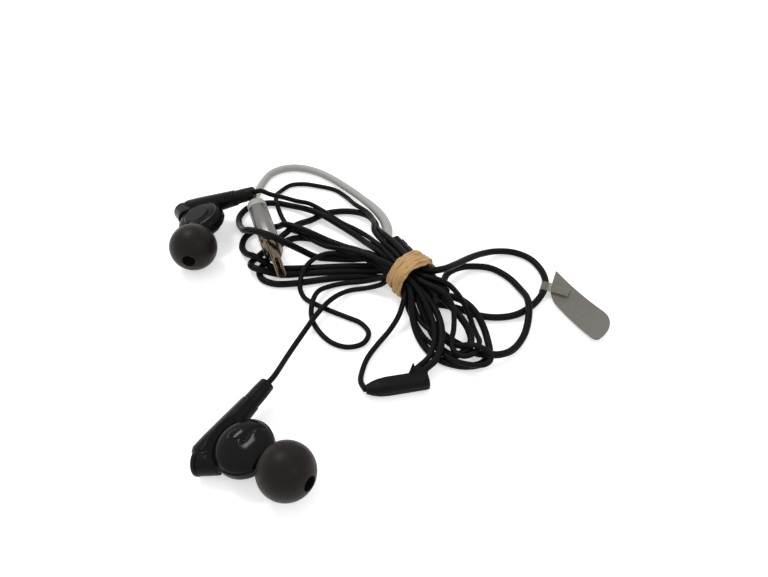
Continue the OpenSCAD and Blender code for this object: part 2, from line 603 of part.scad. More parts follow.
module plug_housing() {
    color("#c9cacc") laid(plug_at, plug_turn) difference() {
        bar(0, plug_l, plug_w, plug_h, plug_round);
        bar(-cut, plug_l - 1.2, plug_w - 2 * plug_wall, plug_h - 2 * plug_wall, plug_round - plug_wall);
        bar(plug_l - 2, plug_l + cut, tip_w, tip_h, tip_h / 2);
    }
}
module plug_tip() {
    color("#d8d9da") laid(plug_at, plug_turn) difference() {
        bar(plug_l - 1.2, plug_l + tip_l, tip_w, tip_h, tip_h / 2);
        bar(plug_l - 2, plug_l + tip_l + cut, tip_w - 2 * tip_wall, tip_h - 2 * tip_wall,
            tip_h / 2 - tip_wall);
    }
}
// Insulating liner inside the tip, open at the front
module plug_liner() {
    color("#181818") laid(plug_at, plug_turn) difference() {
        bar(plug_l + tip_l - liner_l, plug_l + tip_l - 0.3, tip_w - 2 * tip_wall,
            tip_h - 2 * tip_wall, tip_h / 2 - tip_wall);
        translate([plug_l + tip_l - slot_l / 2 + cut, 0, 0])
            cube([slot_l, slot_w, slot_h], center = true);
    }
}
// Two rows of spring contacts, each with its common strip at the back
module plug_contacts() {
    x = plug_l + tip_l - slot_l + cut;
    color("#c9a54a") laid(plug_at, plug_turn) {
        translate([x + 0.1, -slot_w / 2 + 0.2, -slot_h / 2]) cube([0.2, slot_w - 0.4, slot_h]);
        for (side = [-1, 1], i = [-3.5:3.5])
            translate([x + 2.1, i * 0.8, side * (slot_h / 2 - 0.06)])
                cube([4, 0.35, 0.12], center = true);
    }
}
module plug_board() {
    w = plug_w - 2 * plug_wall - 2 * board_gap;
    color("#1f4a30") laid(plug_at, plug_turn)
        translate([1, -w / 2, -board_t / 2]) cube([plug_l - 3, w, board_t]);
}
module plug_collar() {
    color("#b9bbbd") laid(plug_at, plug_turn) hull() {
        bar(-0.8, 0, plug_w - 0.8, plug_h - 0.8, plug_round - 0.4, $fn = 32);
        rod(-collar_l, -collar_l + 0.6, collar_end_d, $fn = 32);
    }
}

// ---------------------------------------------------------------- control pieces

// In the control's frame X runs from the lead's end, +Y to the buttons' side
cavity = [control_l - 2 * control_wall, control_w - 2 * control_wall, control_h - 2 * control_wall];
first_button = -9.1;
button_pitch = 2.9;
button_flange = 0.2;
mic_at = [-4, 0.9];
mic_d = 1;

module on_control() {
    laid(control_at, control_turn) children();
}
// The shell's upper (1) or lower (-1) half
module shell_half(side) {
    difference() {
        intersection() {
            bar(-control_l / 2, control_l / 2, control_w, control_h, control_corner);
            translate([0, 0, side * control_h / 2])
                cube([control_l + 1, control_w + 1, control_h], center = true);
        }
        cube(cavity, center = true);
        for (i = [0:2]) translate([first_button + i * button_pitch, control_w / 2, 0])
            cube([button_l + 2 * button_gap, 4 * control_wall, button_w + 2 * button_gap], center = true);
        if (side > 0) translate([mic_at.x, mic_at.y, 0]) cylinder(h = control_h, d = mic_d);
    }
}
module control_base() { color("#1b1b1c") on_control() shell_half(-1); }
module control_cover() { color("#1b1b1c") on_control() shell_half(1); }
module control_board() {
    color("#1f4a30") on_control()
        translate([-cavity.x / 2 + 0.5, -cavity.y / 2 + 0.1, -cavity.z / 2]) cube([cavity.x - 1, 2.4, 0.5]);
}
module control_microphone() {
    color("#c8c8c8") on_control() translate([mic_at.x, mic_at.y, cavity.z / 2])
        cylinder(h = control_wall, d = mic_d);
}
module button(i) {
    back = cavity.y / 2;
    color("#262627") on_control() translate([first_button + i * button_pitch, 0, 0]) {
        translate([-button_l / 2, back - button_flange, -button_w / 2])
            cube([button_l, control_w / 2 + button_proud - back + button_flange, button_w]);
        translate([-button_l / 2 - button_flange, back - button_flange, -button_w / 2])
            cube([button_l + 2 * button_flange, button_flange, button_w]);
    }
}
module button_up() { button(0); }
module button_middle() { button(1); }
module button_down() { button(2); }
module control_relief() { color("#b4b4b6") tube(relief_route, lead_d, relief_root_d); }

// ---------------------------------------------------------------- splitter, band and tag

// In the splitter's frame +X runs to the end where two cords come in
crimp = [6, 2, 1.4];

module on_splitter() { laid(splitter_at, splitter_turn) children(); }
// The shell's upper (1) or lower (-1) half
module splitter_half(side) {
    difference() {
        intersection() {
            union() {
                intersection() {
                    bar(-splitter_l / 2, splitter_l / 2, splitter_w, splitter_h, splitter_round);
                    translate([0, 0, -splitter_h / 2])
                        linear_extrude(splitter_h) rounded(splitter_l, splitter_w, splitter_end_round);
                }
                // Necks: two cords at the right end, one at the left end
                translate(neck_at) rotate([0, 0, neck_turn])
                    bar(0, neck_l, main_d + bud_cord_d + 0.9, main_d + 0.8, 1);
                rod(-splitter_l / 2 - 1.2, -splitter_l / 2 + 2, bud_cord_d + 1);
            }
            translate([0, 0, side * splitter_h])
                cube([3 * splitter_l, 3 * splitter_w, 2 * splitter_h], center = true);
        }
        cube(crimp, center = true);
    }
}
module splitter_base() { color("#19191a") on_splitter() splitter_half(-1); }
module splitter_cover() {
    top = splitter_h / 2;
    color("#19191a") on_splitter() {
        splitter_half(1);
        // Small pointed fin
        hull() {
            translate([splitter_l / 2 - 3.4, 0.6, top - 0.4]) cube([1.8, 0.8, 0.4], center = true);
            translate([splitter_l / 2 - 2.4, 1.9, top - 0.5 + fin_h]) cube([0.3, 0.3, 0.3], center = true);
        }
    }
}
module splitter_crimp() {
    color("#b08a50") on_splitter() difference() {
        cube(crimp, center = true);
        rod(-crimp.x, crimp.x, 0.8);
    }
}

// The band's turns lie side by side as round beads
turns = 4;
module rubber_band() {
    bead = band_w / turns;
    color("#c8a06e") laid(bundle_at, bundle_turn) rotate(along_x) difference() {
        rotate_extrude() {
            translate([band_id / 2, -band_w / 2 + 0.2]) square([band_t - 0.25, band_w - 0.4]);
            for (i = [0:turns - 1])
                translate([band_id / 2 + band_t - bead / 2, (i + 0.5) * bead - band_w / 2])
                    circle(d = bead, $fn = 24);
        }
        cylinder(h = band_w + 1, d = band_id, center = true);
    }
}

// The tag lies in a long curl: its far end lifts, and its taped end is cut at a slant
curl_r = 70;
module tag() {
    start = tag_w / 2 * tan(tag_slant);
    turn = 180 / PI / curl_r;
    color("#75716b") laid(tag_at, tag_turn) difference() {
        translate([0, 0, curl_r]) rotate([-90, 0, 0]) translate([0, 0, -tag_w / 2])
            rotate([0, 0, 90 - tag_l * turn]) rotate_extrude(angle = (start + tag_l) * turn, $fn = 256)
            translate([curl_r - tag_t, 0]) square([tag_t, tag_w]);
        rotate([0, 0, tag_slant]) translate([-2 * tag_w, -tag_w, -1]) cube([2 * tag_w, 2 * tag_w, 3]);
    }
}
// Tape folded round the cord; its free end lies on the tag
module tag_tape() {
    color("#d9d6cc") laid(taped_at, tape_turn) difference() {
        union() {
            rotate([90, 0, 0]) cylinder(h = tape_w, d = main_d + 2 * tape_t, center = true);
            translate([0, -tape_w / 2, tag_at.z - taped_at.z + tag_t]) cube([tape_l, tape_w, tape_t]);
        }
        rotate([90, 0, 0]) cylinder(h = tape_w + 1, d = main_d, center = true);
    }
}

// ---------------------------------------------------------------- cords

module lead() { color("#b4b4b6") tube(lead_route, lead_d, lead_d); }
module main_cord() { color("#161617") tube(main_route, main_d, main_d); }
module left_cord() { color("#161617") tube(left_route, bud_cord_d, bud_cord_d); }
module right_cord() { color("#161617") tube(right_route, bud_cord_d, bud_cord_d); }

left_housing();
left_cap();
left_nozzle();
left_mesh();
left_eartip();
left_driver_frame();
left_magnet();
left_diaphragm();
left_barrel_cap();
left_sleeve();
right_housing();
right_cap();
right_nozzle();
right_mesh();
right_eartip();
right_driver_frame();
right_magnet();
right_diaphragm();
right_barrel_cap();
right_sleeve();
plug_housing();
plug_tip();
plug_liner();
plug_contacts();
plug_collar();
plug_board();
control_base();
control_cover();
control_board();
control_microphone();
button_up();
button_middle();
button_down();
control_relief();
splitter_base();
splitter_cover();
splitter_crimp();
rubber_band();
tag();
tag_tape();
lead();
main_cord();
left_cord();
right_cord();
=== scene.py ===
import bpy, bmesh, math
from mathutils import Vector, Matrix


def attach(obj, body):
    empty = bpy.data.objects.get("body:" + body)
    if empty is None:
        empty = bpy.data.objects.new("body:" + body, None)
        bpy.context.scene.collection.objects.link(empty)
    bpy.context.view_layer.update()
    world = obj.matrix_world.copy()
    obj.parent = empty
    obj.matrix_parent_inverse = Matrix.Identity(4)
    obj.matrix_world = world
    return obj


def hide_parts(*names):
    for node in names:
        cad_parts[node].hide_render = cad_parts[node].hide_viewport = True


# Wired earphones in a bundle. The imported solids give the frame. What shows of them is drawn here in
# millimetres, each piece in its own frame, and seated on its solid; the rest only gets its finish.

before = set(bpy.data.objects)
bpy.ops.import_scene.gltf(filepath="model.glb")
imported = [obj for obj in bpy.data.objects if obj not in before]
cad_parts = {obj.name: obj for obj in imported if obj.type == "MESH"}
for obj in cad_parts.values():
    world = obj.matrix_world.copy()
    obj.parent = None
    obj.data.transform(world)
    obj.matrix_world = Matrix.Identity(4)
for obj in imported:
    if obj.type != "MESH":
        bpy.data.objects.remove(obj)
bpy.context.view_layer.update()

MM = 0.001
# Where the layout's own zero lies in the part's frame
LAYOUT = Vector((-0.1, 6.15, 0))


def turn_matrix(turn):
    """A turn about X, then Y, then Z, in degrees."""
    x, y, z = (math.radians(a) for a in turn)
    return Matrix.Rotation(z, 3, "Z") @ Matrix.Rotation(y, 3, "Y") @ Matrix.Rotation(x, 3, "X")


def placed(point, at, turn):
    """A point of a piece's own frame, where it lies in the layout."""
    return tuple(Vector(at) + turn_matrix(turn) @ Vector(point))


def seat(at, turn, flip=False):
    """The matrix from a piece's own millimetres to the part's metres."""
    m = turn_matrix(turn).to_4x4()
    if flip:
        m = m @ Matrix.Diagonal((1, 1, -1, 1))
    return Matrix.Scale(MM, 4) @ Matrix.Translation(LAYOUT + Vector(at)) @ m


def added(name, data):
    """A new object at the origin that shows the data."""
    made = bpy.data.objects.new(name, data)
    bpy.context.scene.collection.objects.link(made)
    return made


# ---------------------------------------------------------------- places and shared sizes

LEFT_AT, LEFT_TURN = (7.9, -40.7, 5.3), (6.5, -8, -32.5)
RIGHT_AT, RIGHT_TURN = (-13.8, 30.3, 5.5), (19.5, -5.5, -90)
PLUG_AT, PLUG_TURN = (1.8, 33.5, 6.7), (-83, 0, -70)
BUNDLE_AT, BUNDLE_TURN = (44.2, 8.8, 6.1), (0, 0, -55)
SPLITTER_AT, SPLITTER_TURN = (40.6, -22, 1.85), (0, 0, 11)
TAG_AT, TAG_TURN = (81.5, 10.95, 1.35), (-6.3, 5.1, -61.5)

# In an earbud's own frame +X runs out of the nozzle, +Y along the stem and +Z out of the cap
STEM_FOOT, STEM_ANGLE = Vector((-7.6, -5.2, -0.6)), 86
STEM_L, SLEEVE_L = 15, 5.7

# The plug runs along +X from its shoulder to its nose
PLUG_L, PLUG_W, PLUG_H = 17, 9.4, 5.2
SHOULDER_L = 3.2

# The splitter's one inlet is at its -X end, and its neck for two cords leaves it at the +X end
SPLITTER_L, SPLITTER_W, SPLITTER_H = 13.6, 4.3, 3.6
INLET_L, NECK_L, NECK_TURN = 1.2, 2.6, 62
NECK_AT = (SPLITTER_L / 2 - 2.4, 0.9, 0)

MAIN_D, BUD_CORD_D, LEAD_D, RELIEF_D = 1.8 * MM, 1.35 * MM, 2.2 * MM, 3.2 * MM

# ---------------------------------------------------------------- camera

CAMERA_AT, CAMERA_DIP = Vector((37, -114.7, 133.3)), 46.9
camera = bpy.data.cameras.new("camera")
camera.sensor_width, camera.lens = 36, 32.34
camera.clip_start, camera.clip_end = 0.01, 5
camera_object = added("camera", camera)
camera_object.location = (CAMERA_AT + LAYOUT) * MM
camera_object.rotation_euler = (math.radians(90 - CAMERA_DIP), 0, 0)
bpy.context.scene.camera = camera_object
bpy.context.scene.view_settings.view_transform = "Standard"

# ---------------------------------------------------------------- cord routes

# Half the length of a straight pass through the rubber band
PASS_HALF = 3.2
# A cord runs straight for this length where it leaves a stiff piece
STRAIGHT_L = 2


def slot(s, u, v):
    """A point of the bundle: along it, across it and above its middle."""
    return placed((s, u, v), BUNDLE_AT, BUNDLE_TURN)


def to_right(a, b):
    """A pass through the band from its left side at a to its right side at b."""
    return [slot(-PASS_HALF, *a), slot(PASS_HALF, *b)]


def to_left(a, b):
    """A pass through the band from its right side at b to its left side at a."""
    return [slot(PASS_HALF, *b), slot(-PASS_HALF, *a)]


CONTROL_AT, CONTROL_TURN, CONTROL_L = slot(-1.5, 2.25, 0.05), (0, 0, -57.5), 23


def control_end(side, past):
    """A point on the control's axis, past its end on one side."""
    return placed((side * (CONTROL_L / 2 + past), 0, 0), CONTROL_AT, CONTROL_TURN)


def splitter_mouth(side):
    """Where a cord enters the splitter's neck, so far to one side of its middle."""
    return placed(placed((NECK_L, -side, 0), NECK_AT, (0, 0, NECK_TURN)), SPLITTER_AT, SPLITTER_TURN)


def along(angle):
    """The unit vector at an angle in a piece's XY plane."""
    a = math.radians(angle)
    return Vector((math.cos(a), math.sin(a), 0))


def on_stem(l):
    """A point on the stem's axis, in the earbud's own frame."""
    return STEM_FOOT + along(STEM_ANGLE) * l


def stem_exit(past, at, turn, flip):
    """A point on an earbud's stem axis, past the end of its sleeve."""
    x, y, z = on_stem(STEM_L + SLEEVE_L + past)
    return placed((x, y, -z if flip else z), at, turn)


plug_rear = placed((-SHOULDER_L, 0, 0), PLUG_AT, PLUG_TURN)
splitter_inlet = placed((-SPLITTER_L / 2 - INLET_L, 0, 0), SPLITTER_AT, SPLITTER_TURN)

# Routes in the layout's millimetres, laid along the photo. Each to_left or to_right is a pass
# through the band, and the points between two of them are one loop of the bundle.

lead_route = [
    plug_rear, (0.1, 39.9, 4.6),
    (-0.8, 43.2, 3.2), (-1.1, 47.8, 1.6), (-0.1, 53.2, 1.1), (1.8, 57.6, 1.1), (4.8, 60, 1.1),
    (8.8, 60.9, 1.1), (13.2, 60.1, 1.1), (17.6, 57.9, 1.1), (21.6, 54.7, 1.2), (25, 51, 1.6),
    (28, 47.4, 2.1), (30.6, 43.6, 2.8)]

relief_route = [
    (30.6, 43.6, 2.8), (33, 39.8, 3.7), (35.2, 35.8, 4.5), (37, 31.4, 5.2), (37.9, 27, 5.8),
    control_end(-1, STRAIGHT_L), control_end(-1, 0)]

main_route = [
    control_end(1, 0), control_end(1, STRAIGHT_L),
    (55.6, -4, 5), (57.4, -7, 4), (58, -10, 3.3), (57, -12.6, 3), (54, -13.2, 1.3),
    (51.2, -11.2, 0.9), (49.2, -7.4, 1.5), (47.2, -2.8, 3), (45.7, 1.4, 4.8),
    *to_left((-1.45, -0.85), (-1.45, -0.85)),
    (37.2, 15, 4.6), (33.6, 18.6, 4.2), (29.8, 21.4, 2.7), (25.6, 24, 1.1), (21, 26.2, 0.9),
    (16.5, 28.3, 0.9), (12, 28.6, 0.9), (8.6, 26.6, 0.9), (6.4, 23, 0.9), (4.8, 19, 0.9),
    (3.5, 15.6, 0.9), (4.6, 12.6, 0.9), (8, 10.9, 0.9), (13, 11, 0.9), (19, 12.1, 0.9),
    (25, 13.1, 0.9), (31, 13.4, 0.9), (36.4, 12.8, 1.2), (39.9, 11.8, 1.5),
    *to_right((-0.5, -4.45), (-0.4, -4.45)),
    (48.4, 3.4, 1.3), (52, 3.4, 0.9), (56.4, 2, 0.9), (60.5, 0, 0.9), (65, -0.8, 0.9),
    (70, -0.1, 0.9), (74.4, 2.6, 0.9), (77.9, 6.6, 1.1), (79.7, 11, 1.1), (79.4, 15.8, 0.9),
    (77, 20.3, 0.9), (73, 22.8, 0.9), (68.4, 22.8, 1.4), (63.6, 20.4, 2.8), (59.2, 16.2, 5),
    (55.4, 11.8, 7.2), (52, 8.6, 8.8),
    *to_left((1.15, 2.9), (3.2, 2.9)),
    (41.2, 15.4, 9.1), (38.9, 18.8, 9.1), (36.7, 22.2, 8.4), (35.1, 26.4, 6.4), (34.4, 31.4, 4.3),
    (32.4, 36.4, 2.4), (28.8, 39.5, 1.2), (24.4, 40.2, 0.9), (20, 39.2, 0.9), (15.8, 36, 1.1),
    (12, 31.9, 2.8), (9.2, 29.7, 1.8), (6.5, 27.1, 0.9), (4.8, 24.4, 0.9), (2.9, 21.8, 0.9),
    (1, 18.6, 1.2), (1.8, 15.4, 2.7), (5, 14.1, 2.6), (9.5, 14.3, 0.9), (15, 14.6, 0.9),
    (21, 15.1, 0.9), (27, 15.4, 0.9), (32.6, 15.1, 1.3), (37.2, 13.6, 3),
    *to_right((-1.55, -2.65), (-1.55, -2.65)),
    (47.2, 1.6, 2.4), (49.2, -2.8, 1.2), (52.4, -7, 0.9), (56, -10, 0.9), (59.2, -12.6, 1.4),
    (61.6, -13.9, 2.7), (64.6, -13.7, 2.3), (68.2, -11.4, 1.3), (71.8, -6.2, 0.9),
    (73.4, -1, 2.2), (73.7, 3.6, 2.7), (72.6, 9, 1.1), (70, 13.4, 0.9),
    (66, 16.6, 0.9), (61.4, 17.2, 1.1), (57.2, 15.8, 2),
    (53.8, 12.8, 2.8), (52.4, 9.6, 3.2), (50.9, 7.4, 3.3), (49.3, 7, 3.4),
    *to_left((2.2, -2.75), (2.2, -2.75)),
    (40.9, 16.2, 2.5), (37, 17.6, 1), (33.4, 17.5, 0.9), (29, 17.5, 0.9), (24, 17.3, 0.9),
    (18.5, 16.9, 0.9), (13, 16.6, 0.9), (8.9, 16.6, 0.9), (6.7, 16.9, 1.15), (4.4, 17.7, 2.6),
    (1.8, 19.2, 3),
    (-0.9, 21.8, 1.6), (-2.5, 25, 0.9), (-2.2, 28.8, 0.9), (0.2, 31.8, 0.9), (4.2, 32.9, 0.9),
    (7, 32.5, 1.9), (9, 31.1, 3.9), (12.4, 29.2, 4.6), (17, 27.2, 4), (21.6, 25.3, 3),
    (26.2, 22.6, 3.3), (30, 19.4, 4.9), (33.4, 15.9, 6.3), (36.6, 12.4, 7),
    *to_right((-3.3, 1.15), (-3.3, 1.15)),
    (43.9, 0.8, 5.9), (44.1, -3.2, 3.9), (45.2, -7.2, 2), (47.4, -11, 0.9), (50.4, -14.2, 0.9),
    (53.8, -15.7, 0.9), (57.2, -16.1, 0.9), (60.4, -15.2, 0.9), (62.4, -12.2, 0.9), (62.4, -7.8, 0.9),
    (61.4, -3.6, 1.8), (59.4, 0.2, 2.9), (56.8, 3, 3.1), (53.6, 4.4, 3.2), (50.2, 4.5, 3.3),
    *to_left((0.4, -2.75), (0.4, -2.75)),
    (39.4, 14.8, 3.2), (36, 16.9, 2.7), (32.6, 18.8, 2.4), (28, 20, 1), (23, 20.4, 0.9),
    (18.6, 20.6, 1.3), (14.8, 20, 4.4), (11.7, 17.8, 9), (8.4, 16.8, 12.3), (5, 18.2, 12.6),
    (1.8, 20.8, 11), (-0.9, 24.4, 7.8), (-2.7, 29.2, 4.2), (-4.4, 33.6, 1.9), (-5, 38, 0.9),
    (-3.2, 41.6, 0.9), (0.4, 43.6, 0.9), (5, 43.9, 0.9), (9.6, 42.6, 1), (14.2, 40, 2),
    (19, 36.6, 2.8), (24, 33.2, 2), (28.6, 29.2, 1.9), (32, 24.6, 3), (34.8, 19.8, 5.1),
    (37.8, 14.9, 6.7),
    *to_right((-1.45, 0.95), (-1.45, 0.95)),
    (46.7, 2.7, 6.7), (48.3, 0, 6.3), (49.8, -2.9, 5.7), (50.7, -6, 5), (50.9, -9.2, 4.5),
    (50.5, -12.4, 4), (49.4, -15.4, 3),
    splitter_mouth(0.8)]

right_route = [
    stem_exit(0, RIGHT_AT, RIGHT_TURN, True), stem_exit(STRAIGHT_L, RIGHT_AT, RIGHT_TURN, True),
    (5.3, 36, 10.7), (8.5, 37.7, 8.2), (11.8, 39.5, 5.4), (15.3, 40.8, 3.3),
    (19.6, 38.2, 2.6), (24.4, 34.9, 1.5),
    (29, 31.3, 1.8), (32.6, 26.5, 3.4), (35.2, 21.6, 5.4), (37.4, 17.2, 7.6), (38.8, 13.2, 8.7),
    *to_right((-2.1, 2.7), (-1.15, 2.75)),
    (47.6, 3.4, 8.9), (50.4, 1.4, 9), (52.6, -0.8, 8.6), (53.8, -3.4, 7.5), (54, -5.8, 6),
    (53.8, -8.2, 4.6), (53.2, -10.8, 3.6), (53.8, -13.4, 3.1), (56, -14.8, 3.1), (58.6, -14, 3.6),
    (59.9, -11, 3.6), (59.6, -7.6, 2.5), (59.2, -4.4, 1.4), (58.4, -1.6, 2.4), (57, 0.6, 4.6),
    (55.4, 2, 6.6), (53.2, 3.4, 8.4), (50.6, 4.7, 9),
    *to_left((-0.45, 2.7), (0.6, 2.7)),
    (39.7, 14.6, 9), (36.8, 18.4, 9), (34.4, 22.8, 8.8), (34.2, 27, 8), (33.8, 31.2, 6.1),
    (32, 36.2, 4.2), (28.4, 41.2, 2.8), (25.6, 46.6, 1.1), (22, 50.4, 0.7), (17, 52.2, 0.7),
    (12.4, 53.2, 0.7), (8.4, 52.6, 0.7), (5.6, 49.6, 0.7), (4.9, 46.2, 2), (5.4, 42.4, 2.7),
    (6.8, 38.6, 1.2), (8.6, 35.2, 0.7), (10.8, 32.2, 0.7), (13.8, 28.9, 2.5), (17, 26.2, 2.5),
    (21, 23.4, 2.7), (25.4, 20.4, 4.6), (30, 17, 6.6), (34.6, 13.4, 8.2),
    *to_right((-3.45, 2.75), (-2.7, 2.7)),
    (45.4, 2.4, 8), (46.8, -0.2, 7.2), (48, -3, 6.2), (48.9, -6, 5.3), (49.2, -9, 4.6),
    (48.8, -12, 3.7), (47.6, -14.8, 2.8),
    splitter_mouth(-1)]

left_route = [
    stem_exit(0, LEFT_AT, LEFT_TURN, False), stem_exit(STRAIGHT_L, LEFT_AT, LEFT_TURN, False),
    (14.2, -14, 2.6), (17.3, -6.6, 2.1), (20.2, -0.6, 2.1), (23.8, 4.6, 2.1), (27.8, 8.5, 0.8),
    (32.2, 9.4, 0.8), (36, 8.9, 2.6),
    *to_right((-4.4, -1.5), (-4.4, -1.5)),
    (43, 1, 2.8), (44.8, -3, 1.2), (46.8, -7, 0.7), (49, -10.3, 1.5), (51.2, -13.6, 2.3),
    (54.4, -16, 2.5), (58, -17, 2.6), (60.8, -16.9, 2.7), (62.1, -16, 3.3),
    (61.9, -14.7, 4.3), (60, -13.7, 5), (57.4, -12.8, 5), (55.2, -12, 3.6), (53.2, -10.5, 2),
    (51.2, -8.8, 2.6), (48.2, -7, 3.4), (45.9, -3.6, 3), (44.3, 0.6, 4),
    *to_left((-3.05, -0.85), (-3.05, -0.9)),
    (36.2, 12.8, 5.1), (33, 16, 4.4), (29, 19, 3.4), (25, 20.6, 2.7), (21.4, 20.6, 2.6),
    (18.2, 18.8, 2.5), (16.2, 15.8, 2.5), (15.2, 12, 2.7), (15.1, 8.4, 1.6), (16.4, 6, 0.7),
    (19.4, 3.8, 0.7), (23.6, 1.4, 0.7), (27.6, -0.6, 0.7), (31.2, -2.6, 0.7), (33.2, -5.8, 0.7),
    (31.9, -9, 0.7), (28.2, -10.2, 0.7), (24.2, -8.8, 0.7), (20.8, -5.2, 0.7), (18.7, -0.8, 0.7),
    (18.6, 3, 1.8), (19.8, 7, 2), (22.8, 10.1, 0.8), (26.6, 11.3, 0.7), (31.2, 11.2, 1.4),
    (35.4, 9.8, 4),
    *to_right((-4.55, 0), (-4.55, -0.1)),
    (41.8, 0.8, 5), (40.7, -2.2, 3.3), (38.4, -5.6, 1.6), (35.4, -9.4, 0.7), (33, -13.6, 0.7),
    (31.8, -17.6, 0.7), (31.6, -20.8, 1.2),
    splitter_inlet]


def laid_curve(name, route, diameter, end_radius=1):
    """A smooth open curve through a route's points; its spans are eased by the distance between points."""
    points = [(Vector(p) + LAYOUT) * MM for p in route]
    n = len(points)
    padded = [2 * points[0] - points[1], *points, 2 * points[-1] - points[-2]]
    gaps = [(b - a).length ** 0.5 for a, b in zip(padded, padded[1:])]
    curve = bpy.data.curves.new(name, "CURVE")
    curve.dimensions = "3D"
    curve.resolution_u = 6
    curve.bevel_depth = diameter / 2
    curve.bevel_resolution = 4
    curve.use_fill_caps = True
    line = curve.splines.new("BEZIER")
    line.bezier_points.add(n - 1)
    for i, knot in enumerate(line.bezier_points):
        before, here, after = padded[i:i + 3]
        g0, g1 = gaps[i], gaps[i + 1]
        slope = (here - before) / g0 - (after - before) / (g0 + g1) + (after - here) / g1
        knot.co = here
        knot.handle_left_type = knot.handle_right_type = "FREE"
        knot.handle_left = here - slope * g0 / 3
        knot.handle_right = here + slope * g1 / 3
        knot.radius = 1 + (end_radius - 1) * i / (n - 1)
    return added(name, curve)


def route_length(piece, steps=16):
    """Length of a curve's own line, in metres."""
    total, knots = 0, piece.data.splines[0].bezier_points
    for a, b in zip(knots, knots[1:]):
        p = (a.co, a.handle_right, b.handle_left, b.co)
        last = p[0]
        for k in range(1, steps + 1):
            t = k / steps
            s = 1 - t
            here = s ** 3 * p[0] + 3 * s ** 2 * t * p[1] + 3 * s * t ** 2 * p[2] + t ** 3 * p[3]
            total += (here - last).length
            last = here
    return total


lead = laid_curve("grey_lead", lead_route, LEAD_D)
relief = laid_curve("lead_relief", relief_route, LEAD_D, RELIEF_D / LEAD_D)
main_cord = laid_curve("bundled_cord", main_route, MAIN_D)
right_cord = laid_curve("right_bud_cord", right_route, BUD_CORD_D)
left_cord = laid_curve("left_bud_cord", left_route, BUD_CORD_D)

# ---------------------------------------------------------------- materials


def grain_group():
    """Fine moulded grain: a small height, and a slow drift of the tone."""
    group = bpy.data.node_groups.new("moulded_grain", "ShaderNodeTree")
    for side, names in (("INPUT", ("Grain Size", "Drift Size")), ("OUTPUT", ("Height", "Drift"))):
        for name in names:
            group.interface.new_socket(name, in_out=side, socket_type="NodeSocketFloat")
    nodes, links = group.nodes, group.links
    inside, outside = nodes.new("NodeGroupInput"), nodes.new("NodeGroupOutput")
    place = nodes.new("ShaderNodeTexCoord")
    fine, slow = nodes.new("ShaderNodeTexNoise"), nodes.new("ShaderNodeTexNoise")
    fine.inputs["Detail"].default_value = 3
    slow.inputs["Detail"].default_value = 4
    slow.inputs["Roughness"].default_value = 0.6
    for texture, size, result in ((fine, "Grain Size", "Height"), (slow, "Drift Size", "Drift")):
        links.new(place.outputs["Object"], texture.inputs["Vector"])
        links.new(inside.outputs[size], texture.inputs["Scale"])
        links.new(texture.outputs["Fac"], outside.inputs[result])
    return group


GRAIN = grain_group()
# Nearly all of the drift's values lie between these
DRIFT_LOW, DRIFT_HIGH = 0.3, 0.7


def finish(name, dark, light, rough, metal=0.0, specular=0.5, grain=9000, drift=300, depth=0.000004,
           alpha=1.0):
    """A finish whose tone drifts from dark to light and whose roughness drifts over rough = (low, high)."""
    material = bpy.data.materials.new(name)
    material.use_nodes = True
    nodes, links = material.node_tree.nodes, material.node_tree.links
    skin = nodes["Principled BSDF"]
    group = nodes.new("ShaderNodeGroup")
    group.node_tree = GRAIN
    group.inputs["Grain Size"].default_value = grain
    group.inputs["Drift Size"].default_value = drift
    tone = nodes.new("ShaderNodeMix")
    tone.data_type = "RGBA"
    tone.inputs["A"].default_value = (*dark, 1)
    tone.inputs["B"].default_value = (*light, 1)
    links.new(group.outputs["Drift"], tone.inputs["Factor"])
    links.new(tone.outputs["Result"], skin.inputs["Base Color"])
    spread = nodes.new("ShaderNodeMapRange")
    spread.inputs["From Min"].default_value = DRIFT_LOW
    spread.inputs["From Max"].default_value = DRIFT_HIGH
    spread.inputs["To Min"].default_value = rough[0]
    spread.inputs["To Max"].default_value = rough[1]
    links.new(group.outputs["Drift"], spread.inputs["Value"])
    links.new(spread.outputs["Result"], skin.inputs["Roughness"])
    bump = nodes.new("ShaderNodeBump")
    bump.inputs["Strength"].default_value = 0.6
    bump.inputs["Distance"].default_value = depth
    links.new(group.outputs["Height"], bump.inputs["Height"])
    links.new(bump.outputs["Normal"], skin.inputs["Normal"])
    skin.inputs["Metallic"].default_value = metal
    skin.inputs["Specular IOR Level"].default_value = specular
    skin.inputs["Alpha"].default_value = alpha
    return material


def grey(v):
    """A neutral tone."""
    return (v, v, v)


gloss_black = finish("gloss_black_shell", grey(0.0045), grey(0.007), (0.18, 0.30), specular=0.07)
cap_black = finish("polished_black_cap", grey(0.004), grey(0.006), (0.08, 0.15), specular=0.10)
silicone = finish("dark_silicone", (0.0085, 0.0060, 0.0052), (0.0145, 0.0105, 0.0090), (0.36, 0.46),
                  specular=0.12, depth=0.000002)
cord_black = finish("black_cord_skin", grey(0.0045), grey(0.007), (0.36, 0.48), specular=0.06, drift=160)
sleeve_black = finish("sleeve_rubber", grey(0.005), grey(0.008), (0.30, 0.42), specular=0.07)
control_black = finish("satin_black_moulding", grey(0.005), grey(0.008), (0.38, 0.50), specular=0.06,
                       depth=0.000006)
button_black = finish("button_black", grey(0.007), grey(0.010), (0.30, 0.40), specular=0.08)
lead_grey = finish("grey_lead_skin", (0.30, 0.30, 0.28), (0.37, 0.37, 0.35), (0.40, 0.50), specular=0.4)
satin_aluminium = finish("blasted_aluminium", (0.17, 0.165, 0.155), (0.22, 0.215, 0.20), (0.28, 0.36),
                         metal=1.0, grain=14000, depth=0.0000005)
collar_silver = finish("grey_collar", (0.30, 0.30, 0.27), (0.36, 0.36, 0.33), (0.42, 0.52), specular=0.3)
